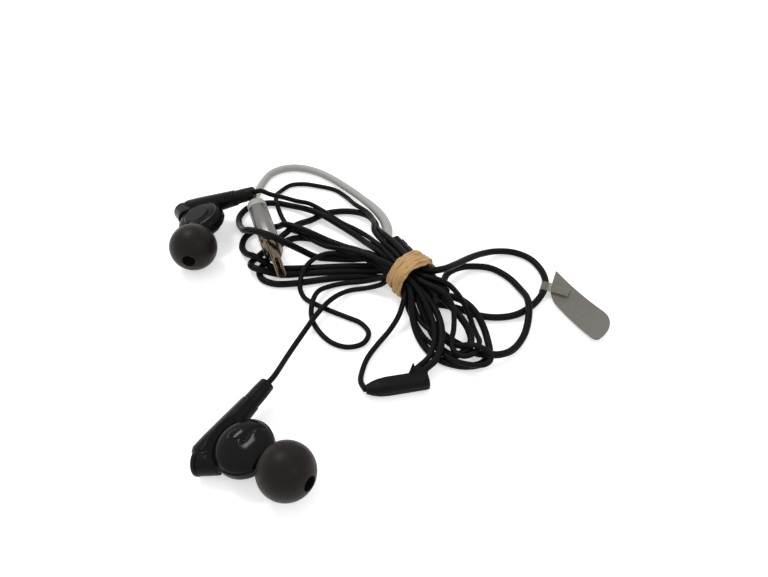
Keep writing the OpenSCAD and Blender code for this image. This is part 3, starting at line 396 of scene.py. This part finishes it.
bright_steel = finish("warm_steel", (0.12, 0.09, 0.06), (0.18, 0.14, 0.10), (0.16, 0.26), metal=1.0)
dark_plastic = finish("liner_plastic", grey(0.012), grey(0.018), (0.4, 0.5))
gold = finish("gold_plating", (0.78, 0.55, 0.22), (0.85, 0.62, 0.28), (0.2, 0.3), metal=1.0)
board_green = finish("board_lacquer", (0.02, 0.09, 0.04), (0.03, 0.12, 0.05), (0.3, 0.4))
mesh_steel = finish("filter_steel", grey(0.25), grey(0.40), (0.3, 0.4), metal=1.0)
magnet_steel = finish("magnet_steel", grey(0.45), grey(0.55), (0.25, 0.35), metal=1.0)
film = finish("diaphragm_film", (0.45, 0.42, 0.36), (0.52, 0.48, 0.42), (0.3, 0.4))
microphone_grey = finish("microphone_grille", grey(0.45), grey(0.6), (0.3, 0.4), metal=0.6)
band_tan = finish("tan_rubber", (0.34, 0.19, 0.07), (0.60, 0.38, 0.17), (0.55, 0.70), specular=0.3,
                  grain=3000, drift=500, depth=0.00002)
tag_grey = finish("grey_tag_film", (0.115, 0.105, 0.095), (0.165, 0.15, 0.135), (0.42, 0.55), specular=0.3)
tape_clear = finish("clear_tape", (0.16, 0.15, 0.12), (0.22, 0.21, 0.17), (0.15, 0.25), specular=0.3,
                    alpha=0.6)

# ---------------------------------------------------------------- CAD nodes and their finishes

# A node of one earbud is listed without its side
NODE_FINISH = {
    "housing": gloss_black, "cap": cap_black, "barrel_cap": cap_black, "sleeve": cord_black,
    "nozzle": gloss_black, "mesh": mesh_steel, "eartip": silicone,
    "driver_frame": dark_plastic, "magnet": magnet_steel, "diaphragm": film,
    "plug_housing": satin_aluminium, "plug_collar": collar_silver, "plug_tip": bright_steel,
    "plug_liner": dark_plastic, "plug_contacts": gold, "plug_board": board_green,
    "control_base": control_black, "control_cover": control_black, "control_relief": lead_grey,
    "control_board": board_green, "control_microphone": microphone_grey,
    "button_up": button_black, "button_middle": button_black, "button_down": button_black,
    "splitter_base": control_black, "splitter_cover": control_black, "splitter_crimp": gold,
    "lead": lead_grey, "main_cord": cord_black, "left_cord": cord_black, "right_cord": cord_black,
    "rubber_band": band_tan, "tag": tag_grey, "tag_tape": tape_clear,
}

for name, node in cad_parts.items():
    node.data.materials.clear()
    node.data.materials.append(NODE_FINISH.get(name) or NODE_FINISH[name.split("_", 1)[1]])


def wear(piece, material, *nodes):
    """A new piece gets its finish, rides on the body and stands for its CAD nodes."""
    piece.data.materials.append(material)
    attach(piece, "earphones")
    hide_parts(*nodes)
    return piece


wear(lead, lead_grey, "lead")
wear(relief, lead_grey, "control_relief")
wear(main_cord, cord_black, "main_cord")
wear(right_cord, cord_black, "right_cord")
wear(left_cord, cord_black, "left_cord")

# ---------------------------------------------------------------- shared shaping

# Points closer than this are one point
SAME = 0.0005


def piece_from(bm, name, place, crisp=35):
    """Ends a drawing: seats it in the part's frame, turns its faces out and smooths all but crisp edges."""
    bmesh.ops.transform(bm, matrix=place, verts=bm.verts)
    bmesh.ops.recalc_face_normals(bm, faces=bm.faces)
    for f in bm.faces:
        f.smooth = True
    for e in bm.edges:
        e.smooth = not (len(e.link_faces) == 2 and e.calc_face_angle(0) > math.radians(crisp))
    mesh = bpy.data.meshes.new(name)
    bm.to_mesh(mesh)
    bm.free()
    return added(name, mesh)


def joined(bm, other):
    """Moves another drawing's faces into bm."""
    carrier = bpy.data.meshes.new("carrier")
    other.to_mesh(carrier)
    other.free()
    bm.from_mesh(carrier)
    bpy.data.meshes.remove(carrier)


def ring(bm, segments):
    """A circle of radius 1 in the XY plane: its points and its edges."""
    points = bmesh.ops.create_circle(bm, segments=segments, radius=1)["verts"]
    return points, list(dict.fromkeys(e for v in points for e in v.link_edges))


def full_turn(bm, drawn, axis, steps):
    """Spins points and edges a full turn round an axis through the origin."""
    bmesh.ops.spin(bm, geom=drawn, cent=(0, 0, 0), axis=axis, angle=2 * math.pi, steps=steps, use_merge=True)
    bmesh.ops.remove_doubles(bm, verts=bm.verts, dist=SAME)


def spun(bm, profile, axis, steps):
    """Spins an open profile of (along, radius) pairs a full turn round the X or the Z axis."""
    run, out = Vector((1, 0, 0)), Vector((0, 0, 1))
    if axis == "Z":
        run, out = out, run
    verts = [bm.verts.new(run * s + out * r) for s, r in profile]
    edges = [bm.edges.new(pair) for pair in zip(verts, verts[1:])]
    full_turn(bm, verts + edges, run, steps)


def oval(middle, out, reach, rise, angles):
    """Profile points on an oval round (middle, out), at angles in degrees."""
    turns = [math.radians(a) for a in angles]
    return [(middle + reach * math.cos(a), out + rise * math.sin(a)) for a in turns]


def bridged(bm, rings):
    """Joins rings of edges, one to the next, into a closed body."""
    for a, b in zip(rings, rings[1:]):
        bmesh.ops.bridge_loops(bm, edges=a + b)
    for end in (rings[0], rings[-1]):
        bmesh.ops.edgeloop_fill(bm, edges=end)


def fused(bm, voxel, rounds):
    """Fuses a drawing's closed bodies into one skin with eased joints."""
    loose = bpy.data.meshes.new("loose")
    bm.to_mesh(loose)
    bm.free()
    holder = added("loose", loose)
    fuse = holder.modifiers.new("fuse", "REMESH")
    fuse.mode = "VOXEL"
    fuse.voxel_size = voxel
    ease = holder.modifiers.new("ease", "SMOOTH")
    ease.factor = 0.5
    ease.iterations = rounds
    whole = bpy.data.meshes.new_from_object(holder.evaluated_get(bpy.context.evaluated_depsgraph_get()))
    skin = bmesh.new()
    skin.from_mesh(whole)
    bpy.data.objects.remove(holder)
    for mesh in (loose, whole):
        bpy.data.meshes.remove(mesh)
    return skin


def signed_power(x, power):
    """A power that keeps the sign; below 1 it squares a circle off."""
    return math.copysign(abs(x) ** power, x)


def eased(low, high, x):
    """Runs smoothly from 0 at low to 1 at high."""
    t = min(1, max(0, (x - low) / (high - low)))
    return t * t * (3 - 2 * t)


def hump(x, width):
    """A soft bump: 1 at 0, and next to nothing beyond twice its width."""
    return math.exp(-(x / width) ** 2)


# ---------------------------------------------------------------- rubber band

# Each turn: its middle along the bundle, its lean and where round it leans most, its radius, width and
# thickness, how much it twists, and the phase of its wavers
BAND_TURNS = (
    (-1.9, 0.6, 0.4, 5.6, 1.5, 0.7, 0.45, 0.3), (-1.2, -0.8, 1.3, 5.75, 1.4, 0.7, 0.6, 1.9),
    (-0.4, 0.8, 2.2, 5.7, 1.5, 0.7, 0.5, 3.1), (0.4, -0.8, 0.2, 5.8, 1.4, 0.65, 0.6, 4.4),
    (1.2, 0.7, 1.2, 5.65, 1.5, 0.7, 0.45, 2.5), (1.9, -0.5, 0.9, 5.6, 1.3, 0.65, 0.5, 0.9),
    (-0.9, 0.1, 0.5, 5.6, 1.9, 0.6, 0.15, 5), (0.0, 1.9, 1.9, 6.05, 1.2, 0.65, 0.65, 5.5))
# The table presses it flat this far below its own middle, with a soft bend of this height
BAND_FLAT, BAND_BEND = 5.2, 0.6


def band_turn(bm, middle, lean, lean_at, radius, width, thick, twist, phase):
    """One turn of the band: a spun strip that leans, wavers and twists on its way round."""
    strip = bmesh.new()
    points, edges = ring(strip, 16)
    for v in points:
        x, y = signed_power(v.co.x, 0.6), signed_power(v.co.y, 0.7)
        v.co = (x * width / 2, radius + y * thick / 2, 0)
    full_turn(strip, points + edges, (1, 0, 0), 120)

    def waver(a, times, size, phases=1):
        return size * math.sin(times * a + phases * phase)

    for v in strip.verts:
        a = math.atan2(v.co.z, v.co.y)
        roll = twist * (waver(a, 2, 1) + waver(a, 5, 0.5, 2) + waver(a, 9, 0.3, -1))
        pinch = 1 + waver(a, 4, 0.12) + waver(a, 13, 0.1, 2)
        across, up = v.co.x * pinch, math.hypot(v.co.y, v.co.z) - radius
        s = middle + lean * math.cos(a - lean_at) + waver(a, 3, 0.22) + waver(a, 8, 0.1, 2)
        r = radius + waver(a, 6, 0.1) + across * math.sin(roll) + up * math.cos(roll)
        low = max(0, -BAND_FLAT - r * math.sin(a))
        v.co = (s + across * math.cos(roll) - up * math.sin(roll), r * math.cos(a),
                r * math.sin(a) + low * low / (low + BAND_BEND))
    joined(bm, strip)


band_mesh = bmesh.new()
for turn in BAND_TURNS:
    band_turn(band_mesh, *turn)
band = wear(piece_from(band_mesh, "wound_band", seat(BUNDLE_AT, BUNDLE_TURN), crisp=60),
            band_tan, "rubber_band")

# ---------------------------------------------------------------- earbud shells

RIM_Z, FLOOR_Z, CUP_R, BOSS_R = 1, -3.2, 6.6, 3.7
CAP_R, CAP_TOP = 6.27, 3.35
BARREL_MID, BARREL_ANGLE = Vector((-6.6, -6.6, -0.6)), 209
BARREL_D, BARREL_ROOT, BARREL_SEAM, BARREL_END = 5.6, -4, 0.55, 1.7
STUB_D, STUB_REACH = 6.4, 7.4
# The cap's seat is sunk below the rim; outside it a facet rises from just above the rim
SEAT_R, SEAT_SINK, FACET_RISE, FACET_SLOPE = 6.32, 0.05, 0.12, 0.72
# Where the keel lies across a limb, as a share of half its width, and how far it slopes off to each side
KEEL_AT, KEEL_REACH = -0.15, 0.75

# From the stem's foot on: how far along it, half its width and depth, and the height of its keel
STEM_STATIONS = ((0, 3.0, 2.72, 0.15), (3, 2.95, 2.66, 0.25), (7, 2.72, 2.45, 0.4),
                 (11, 2.45, 2.22, 0.45), (STEM_L, 2.2, 2.0, 0.4))
# The round end below the foot: how far along, how far inwards, half its width and depth
FOOT_STATIONS = ((-2.9, 1.9, 0.7, 0.8), (-2.6, 1.5, 1.4, 1.6), (-1.9, 0.9, 2.1, 2.2), (-1, 0.35, 2.75, 2.55))
# The web between the cup and the stem: how far along the stem, and half its width
WEB_STATIONS = ((-1.2, 3.2), (2, 3.4), (5, 2.6), (8, 1.8))
# The web's inner end, as a share of the way out to the stem
WEB_INSIDE = 0.35
# The sleeve, from the stem's end on: how far along, half its width and depth, and the height of its keel
SLEEVE_STATIONS = ((-0.3, 1.9, 1.72, 0.36), (0.15, 1.98, 1.8, 0.36), (3, 1.92, 1.76, 0.3),
                   (SLEEVE_L - 0.2, 1.76, 1.62, 0.25), (SLEEVE_L, 1.6, 1.46, 0.22))


def limb_ring(bm, centre, heading, wide, deep, keel):
    """A cross-section square to its heading: flat flanks that meet in a soft keel on the cap's side."""
    points, edges = ring(bm, 40)
    side = along(heading + 90)
    for v in points:
        x, y = v.co.x, v.co.y
        roof = keel * max(0, 1 - abs(x - KEEL_AT) / KEEL_REACH) if y > 0 else 0
        v.co = centre + side * x * wide + Vector((0, 0, signed_power(y, 0.85) * deep + roof))
    return edges


def limb(bm, stations):
    """A closed body through stations of (centre, heading, half width, half depth, keel)."""
    bridged(bm, [limb_ring(bm, *station) for station in stations])


def rod_along(bm, start, angle, profile):
    """A spun solid of (along, radius) pairs, laid from start in the earbud's plane."""
    rod = bmesh.new()
    spun(rod, profile, "X", 64)
    laid = Matrix.Translation(start) @ Matrix.Rotation(math.radians(angle), 4, "Z")
    bmesh.ops.transform(rod, matrix=laid, verts=rod.verts)
    joined(bm, rod)


def shell_mesh():
    """Cup, stem, web, barrel and stub as one moulded body; the remesh fuses them and rounds their joints."""
    bm = bmesh.new()
    # Round back: a flat boss in the middle, a fine step round it, then one full shoulder up to the rim
    boss = [(FLOOR_Z, 0), (FLOOR_Z, BOSS_R - 0.2), (FLOOR_Z + 0.2, BOSS_R), (FLOOR_Z + 0.65, BOSS_R + 0.05)]
    shoulder_r = BOSS_R + 0.3
    shoulder = oval(-0.3, shoulder_r, -2.45, CUP_R - shoulder_r, range(0, 91, 10))
    spun(bm, [*boss, *shoulder, (RIM_Z, CUP_R), (RIM_Z, 0)], "Z", 96)
    foot = [(on_stem(l) + Vector((inward, 0, 0)), STEM_ANGLE, wide, deep, 0)
            for l, inward, wide, deep in FOOT_STATIONS]
    limb(bm, foot + [(on_stem(l), STEM_ANGLE, wide, deep, keel) for l, wide, deep, keel in STEM_STATIONS])
    r = BARREL_D / 2
    rod_along(bm, BARREL_MID, BARREL_ANGLE, [(BARREL_ROOT, 0), (BARREL_ROOT, r - 0.1),
                                             (BARREL_SEAM, r - 0.02), (BARREL_SEAM, 0)])
    stub_r, chamfer = STUB_D / 2, 0.5
    rod_along(bm, Vector((0, 0, 0)), 0, [(2, 0), (2, stub_r), (STUB_REACH - chamfer, stub_r),
                                         (STUB_REACH, stub_r - chamfer), (STUB_REACH, 0)])
    # The web is a little thinner than the cup and the stem
    for l, wide in WEB_STATIONS:
        at = on_stem(l)
        hub = Vector((at.x * WEB_INSIDE, at.y * WEB_INSIDE, at.z))
        heading = math.degrees(math.atan2(at.y - hub.y, at.x - hub.x))
        limb(bm, [(hub, heading, wide, 1.5, 0), ((at + hub) / 2, heading, wide, 1.6, 0),
                  (at, heading, wide, 2.35, 0)])
    skin = fused(bm, voxel=0.16, rounds=8)
    # The seat that the cap is pressed into, and the facet that runs from the stem's keel down to it
    for v in skin.verts:
        out = math.hypot(v.co.x, v.co.y) - SEAT_R
        v.co.z = min(v.co.z, RIM_Z - SEAT_SINK if out < 0 else RIM_Z + FACET_RISE + FACET_SLOPE * out)
    return skin


# The cap's swirl runs from the middle to the edge; its lip lies beside its groove
SWIRL = [Vector(p) for p in ((0.2, -0.5), (0.85, 0.9), (0.55, 2.4), (0.35, 3.7), (1.1, 4.75), (2.5, 5.35))]
GROOVE_DEEP, GROOVE_W, LIP_HIGH, LIP_W, LIP_ASIDE = 0.4, 0.42, 0.13, 0.7, Vector((0.9, -0.2))
# The raised oval pad beside it: its middle, its two half axes, the turn of the first one and its height
PAD_MID, PAD_LONG, PAD_SHORT, PAD_TURN, PAD_HIGH = Vector((-1.6, 0.95)), 2.0, 1.25, 40, 0.42
DOME_RINGS = 60


def from_swirl(p):
    """Distance from the swirl's line, with how far along it the nearest point lies."""
    best = (9, 0)
    for i, (a, b) in enumerate(zip(SWIRL, SWIRL[1:])):
        t = min(1, max(0, (p - a).dot(b - a) / (b - a).length_squared))
        best = min(best, ((p - a.lerp(b, t)).length, (i + t) / (len(SWIRL) - 1)))
    return best


def cap_mesh():
    """Domed cap with a raised oval pad; a groove and its lip swirl from the middle to the edge."""
    bm = bmesh.new()
    skirt = [(RIM_Z - 0.35, CAP_R - 0.5), (RIM_Z - 0.35, CAP_R), (RIM_Z + 0.05, CAP_R)]
    shares = [1 - k / DOME_RINGS for k in range(1, DOME_RINGS + 1)]
    # Nearly flat in the middle and steep at the rim
    dome = [(RIM_Z + (CAP_TOP - RIM_Z) * (1 - share ** 2.5) ** 0.58, CAP_R * share) for share in shares]
    spun(bm, skirt + dome, "Z", 132)
    pad_axis = along(PAD_TURN).to_2d()
    for v in bm.verts:
        if v.co.z < RIM_Z + 0.1:
            continue
        p = Vector((v.co.x, v.co.y))
        pad = p - PAD_MID
        off = math.hypot(pad.dot(pad_axis) / PAD_LONG, pad_axis.cross(pad) / PAD_SHORT)
        v.co.z += (PAD_HIGH - 0.06 * max(0, pad.x + 1) ** 2) * (1 - eased(0.75, 1.12, off))
        groove, t = from_swirl(p)
        lip, _ = from_swirl(p - LIP_ASIDE)
        fade = eased(0, 0.12, t) * eased(0, 0.1, 1 - t)
        v.co.z -= GROOVE_DEEP * hump(groove, GROOVE_W) * fade
        v.co.z += LIP_HIGH * hump(lip, LIP_W) * fade * eased(0.3, 0.7, t)
    return bm


def earbud(side, at, turn, flip):
    """The outer shells of one earbud; the right one is the left one's mirror image."""
    place = seat(at, turn, flip)
    wear(piece_from(shell_mesh(), side + "_shell", place, crisp=80), gloss_black, side + "_housing")
    wear(piece_from(cap_mesh(), side + "_dome", place, crisp=50), cap_black, side + "_cap")
    end = bmesh.new()
    r, edge = BARREL_D / 2 + 0.02, 0.6
    rod_along(end, BARREL_MID, BARREL_ANGLE, [
        (BARREL_SEAM + 0.02, 0), (BARREL_SEAM + 0.02, r), (BARREL_END - edge, r),
        *oval(BARREL_END - edge, r - edge, edge, edge, range(72, -1, -18)), (BARREL_END, 0)])
    wear(piece_from(end, side + "_barrel_end", place), cap_black, side + "_barrel_cap")
    sleeve = bmesh.new()
    limb(sleeve, [(on_stem(STEM_L + l), STEM_ANGLE, wide, deep, keel)
                  for l, wide, deep, keel in SLEEVE_STATIONS])
    wear(piece_from(sleeve, side + "_cord_sleeve", place, crisp=50), sleeve_black, side + "_sleeve")


earbud("left", LEFT_AT, LEFT_TURN, False)
earbud("right", RIGHT_AT, RIGHT_TURN, True)

# ---------------------------------------------------------------- plug

# The corners' part of the plug's thickness
PLUG_ROUND = 0.88


def bar_ring(bm, x, wide, deep, share):
    """A rounded cross-section of a bar that runs along X; share is the corners' part of its thickness."""
    points, edges = ring(bm, 64)
    r = deep / 2 * share
    for v in points:
        a, b = v.co.x, v.co.y
        v.co = (x, math.copysign(wide / 2 - r, a) + r * a, math.copysign(deep / 2 - r, b) + r * b)
    return edges


def bar(stations):
    """A closed body through stations of (along, width, thickness, corners' part)."""
    bm = bmesh.new()
    bridged(bm, [bar_ring(bm, *station) for station in stations])
    return bm


def plug_piece(name, stations, crisp, material, node):
    """A piece of the plug's outside, from stations of (along, narrower by, thinner by, corners' part)."""
    drawn = bar([(x, PLUG_W - slim, PLUG_H - thin, share) for x, slim, thin, share in stations])
    return wear(piece_from(drawn, name, seat(PLUG_AT, PLUG_TURN), crisp), material, node)


plug_shell = plug_piece("plug_shell", [
    (0, 0.8, 0.8, PLUG_ROUND), (0.08, 0.3, 0.3, PLUG_ROUND), (0.3, 0, 0, PLUG_ROUND),
    (PLUG_L - 1.7, 0, 0, PLUG_ROUND), (PLUG_L - 1.5, 0.1, 0.1, PLUG_ROUND),
    (PLUG_L - 1.45, 0.7, 0.7, PLUG_ROUND)], 50, satin_aluminium, "plug_housing")
plug_nose = plug_piece("plug_nose", [
    (PLUG_L - 2, 0.5, 0.5, PLUG_ROUND), (PLUG_L - 1.3, 0.3, 0.35, 0.9), (PLUG_L - 0.7, 0.45, 0.9, 0.95),
    (PLUG_L - 0.2, 0.7, 1.6, 1), (PLUG_L, 0.9, 2.1, 1)], 50, bright_steel, "plug_housing")
plug_shoulder = plug_piece("plug_shoulder", [
    (-SHOULDER_L, 6.2, 2, 1), (-3.05, 5.9, 1.7, 1), (-2.5, 4.8, 1.2, 1), (-1.6, 2.6, 0.7, 1),
    (-0.7, 0.8, 0.3, 0.95), (0, 0.2, 0.1, 0.9), (0.4, -0.06, -0.06, PLUG_ROUND),
    (2.1, -0.06, -0.06, PLUG_ROUND), (2.2, 0.1, 0.1, PLUG_ROUND)], 60, collar_silver, "plug_collar")

# ---------------------------------------------------------------- splitter

rear, front = -SPLITTER_L / 2, SPLITTER_L / 2
split = bar([(rear - 1.1, 2.1, 2.1, 1), (rear - 0.5, 2.6, 2.4, 1), (rear, 3.1, 2.7, 1),
             (rear + 0.7, 3.6, 3.0, 0.95), (rear + 2, 4.1, 3.4, 0.85),
             (rear + 4, SPLITTER_W, SPLITTER_H, 0.75), (front - 0.5, SPLITTER_W, SPLITTER_H, 0.75),
             (front, SPLITTER_W - 0.3, SPLITTER_H - 0.4, 0.75)])
neck = bar([(-1.5, 4.2, 2.8, 0.9), (1.2, 4.2, 2.8, 0.9), (NECK_L, 3.9, 2.5, 1)])
neck_place = Matrix.Translation(NECK_AT) @ Matrix.Rotation(math.radians(NECK_TURN), 4, "Z")
bmesh.ops.transform(neck, matrix=neck_place, verts=neck.verts)
# A small pointed fin stands on top beside the neck; it is flattened and leans over the neck's side
FIN_AT, FIN_H, FIN_FLAT, FIN_LEAN = Vector((front - 3.5, 1.2, 1)), 2.8, 0.7, Vector((0.15, 0.55, 1))
fin = bmesh.new()
bmesh.ops.create_cone(fin, cap_ends=True, segments=16, radius1=1.15, radius2=0.1, depth=FIN_H)
for v in fin.verts:
    v.co = FIN_AT + Vector((v.co.x, v.co.y * FIN_FLAT, 0)) + FIN_LEAN * (v.co.z + FIN_H / 2)
joined(split, neck)
joined(split, fin)
splitter_skin = fused(split, voxel=0.1, rounds=3)
splitter = wear(piece_from(splitter_skin, "splitter_shell", seat(SPLITTER_AT, SPLITTER_TURN), crisp=80),
                control_black, "splitter_base", "splitter_cover")

# ---------------------------------------------------------------- tag

# A film of even thickness with one slanted end, curled and twisted a little along its length
TAG_L, TAG_W, TAG_T, TAG_SLANT = 21.4, 7.7, 0.2, 40
CURL_R, TAG_TWIST, TAG_LIFT = 63, 1.37, 0.1
SLICE, SLICE_SHIFT = 0.5, 0.013
tag_mesh = bmesh.new()
half_w = TAG_W / 2
back = half_w * math.tan(math.radians(TAG_SLANT))
corners = ((-back, half_w, 0), (back, -half_w, 0), (TAG_L, -half_w, 0), (TAG_L, half_w, 0))
outline = [tag_mesh.verts.new(p) for p in corners]
tag_mesh.faces.new(outline)
# One far corner is cut to a wide round, the others to small ones
for corner, reach in ((outline[3], 6.6), (outline[2], 1.3), (outline[1], 3.2), (outline[0], 0.5)):
    bmesh.ops.bevel(tag_mesh, geom=[corner], offset=reach, offset_type="OFFSET", segments=10, profile=0.5,
                    affect="VERTICES", material=-1)
# Sliced across, so that it can bend; the shift keeps the slices off the corners
for i in range(-4, 44):
    bmesh.ops.bisect_plane(tag_mesh, geom=[*tag_mesh.verts, *tag_mesh.edges, *tag_mesh.faces],
                           dist=0.0001, plane_co=(i * SLICE + SLICE_SHIFT, 0, 0), plane_no=(1, 0, 0))
for v in tag_mesh.verts:
    x, y = v.co.x, v.co.y
    lean = math.radians(TAG_TWIST * x)
    v.co = (CURL_R * math.sin(x / CURL_R), y * math.cos(lean),
            CURL_R * (1 - math.cos(x / CURL_R)) + y * math.sin(lean) + TAG_LIFT)
bmesh.ops.solidify(tag_mesh, geom=list(tag_mesh.faces), thickness=TAG_T)
tag = wear(piece_from(tag_mesh, "care_tag", seat(TAG_AT, TAG_TURN)), tag_grey, "tag")

# ---------------------------------------------------------------- each cord's length, worked out and not kept


route_length(lead)
route_length(main_cord)
route_length(right_cord)
route_length(left_cord)

# ---------------------------------------------------------------- floor, backdrop and light


def seen_rays(nodes, links):
    """One for a ray that shows the background: straight to the eye, in a reflection or through glass."""
    path = nodes.new("ShaderNodeLightPath")
    either = path.outputs["Is Camera Ray"]
    for kind in ("Is Glossy Ray", "Is Transmission Ray"):
        most = nodes.new("ShaderNodeMath")
        most.operation = "MAXIMUM"
        links.new(either, most.inputs[0])
        links.new(path.outputs[kind], most.inputs[1])
        either = most.outputs["Value"]
    return either


def bright_stage(name, colour, strength):
    """Plain surface that keeps shadows; straight to the eye and in reflections it also glows a little."""
    material = bpy.data.materials.new(name)
    material.use_nodes = True
    nodes, links = material.node_tree.nodes, material.node_tree.links
    skin = nodes["Principled BSDF"]
    skin.inputs["Base Color"].default_value = (*colour, 1)
    skin.inputs["Roughness"].default_value = 0.9
    skin.inputs["Specular IOR Level"].default_value = 0.1
    seen = nodes.new("ShaderNodeMath")
    seen.operation = "MULTIPLY"
    seen.inputs[1].default_value = strength
    links.new(seen_rays(nodes, links), seen.inputs[0])
    skin.inputs["Emission Color"].default_value = (1, 1, 1, 1)
    links.new(seen.outputs["Value"], skin.inputs["Emission Strength"])
    return material


FLOOR_SIZE, FLOOR_DROP = 3, 0.0002
floor_mesh = bpy.data.meshes.new("floor")
bm = bmesh.new()
bmesh.ops.create_grid(bm, x_segments=1, y_segments=1, size=FLOOR_SIZE)
bm.to_mesh(floor_mesh)
bm.free()
floor = added("floor", floor_mesh)
floor.location.z = -FLOOR_DROP
floor.data.materials.append(bright_stage("pale_floor", grey(0.90), 0.45))

# The backdrop shows white, and lights the part a little less than it shows
world = bpy.data.worlds.new("studio")
world.use_nodes = True
bpy.context.scene.world = world
sky = world.node_tree.nodes["Background"]
sky.inputs["Color"].default_value = (1, 1, 1, 1)
level = world.node_tree.nodes.new("ShaderNodeMapRange")
level.inputs["To Min"].default_value = 0.8
level.inputs["To Max"].default_value = 1.0
world.node_tree.links.new(seen_rays(world.node_tree.nodes, world.node_tree.links), level.inputs["Value"])
world.node_tree.links.new(level.outputs["Result"], sky.inputs["Strength"])


def softbox(name, at, aim, size, watts):
    """A rectangular lamp at a place in metres, turned to what it lights."""
    lamp = bpy.data.lights.new(name, "AREA")
    lamp.shape = "RECTANGLE"
    lamp.size, lamp.size_y = size
    lamp.energy = watts
    holder = added(name, lamp)
    holder.location = at
    holder.rotation_euler = (Vector(aim) - Vector(at)).to_track_quat("-Z", "Y").to_euler()


softbox("key", (-0.25, 0.35, 0.75), (0.03, 0, 0), (0.28, 0.16), 2.4)
softbox("fill", (0.5, -0.3, 0.6), (0.03, 0, 0), (0.12, 0.12), 0.5)
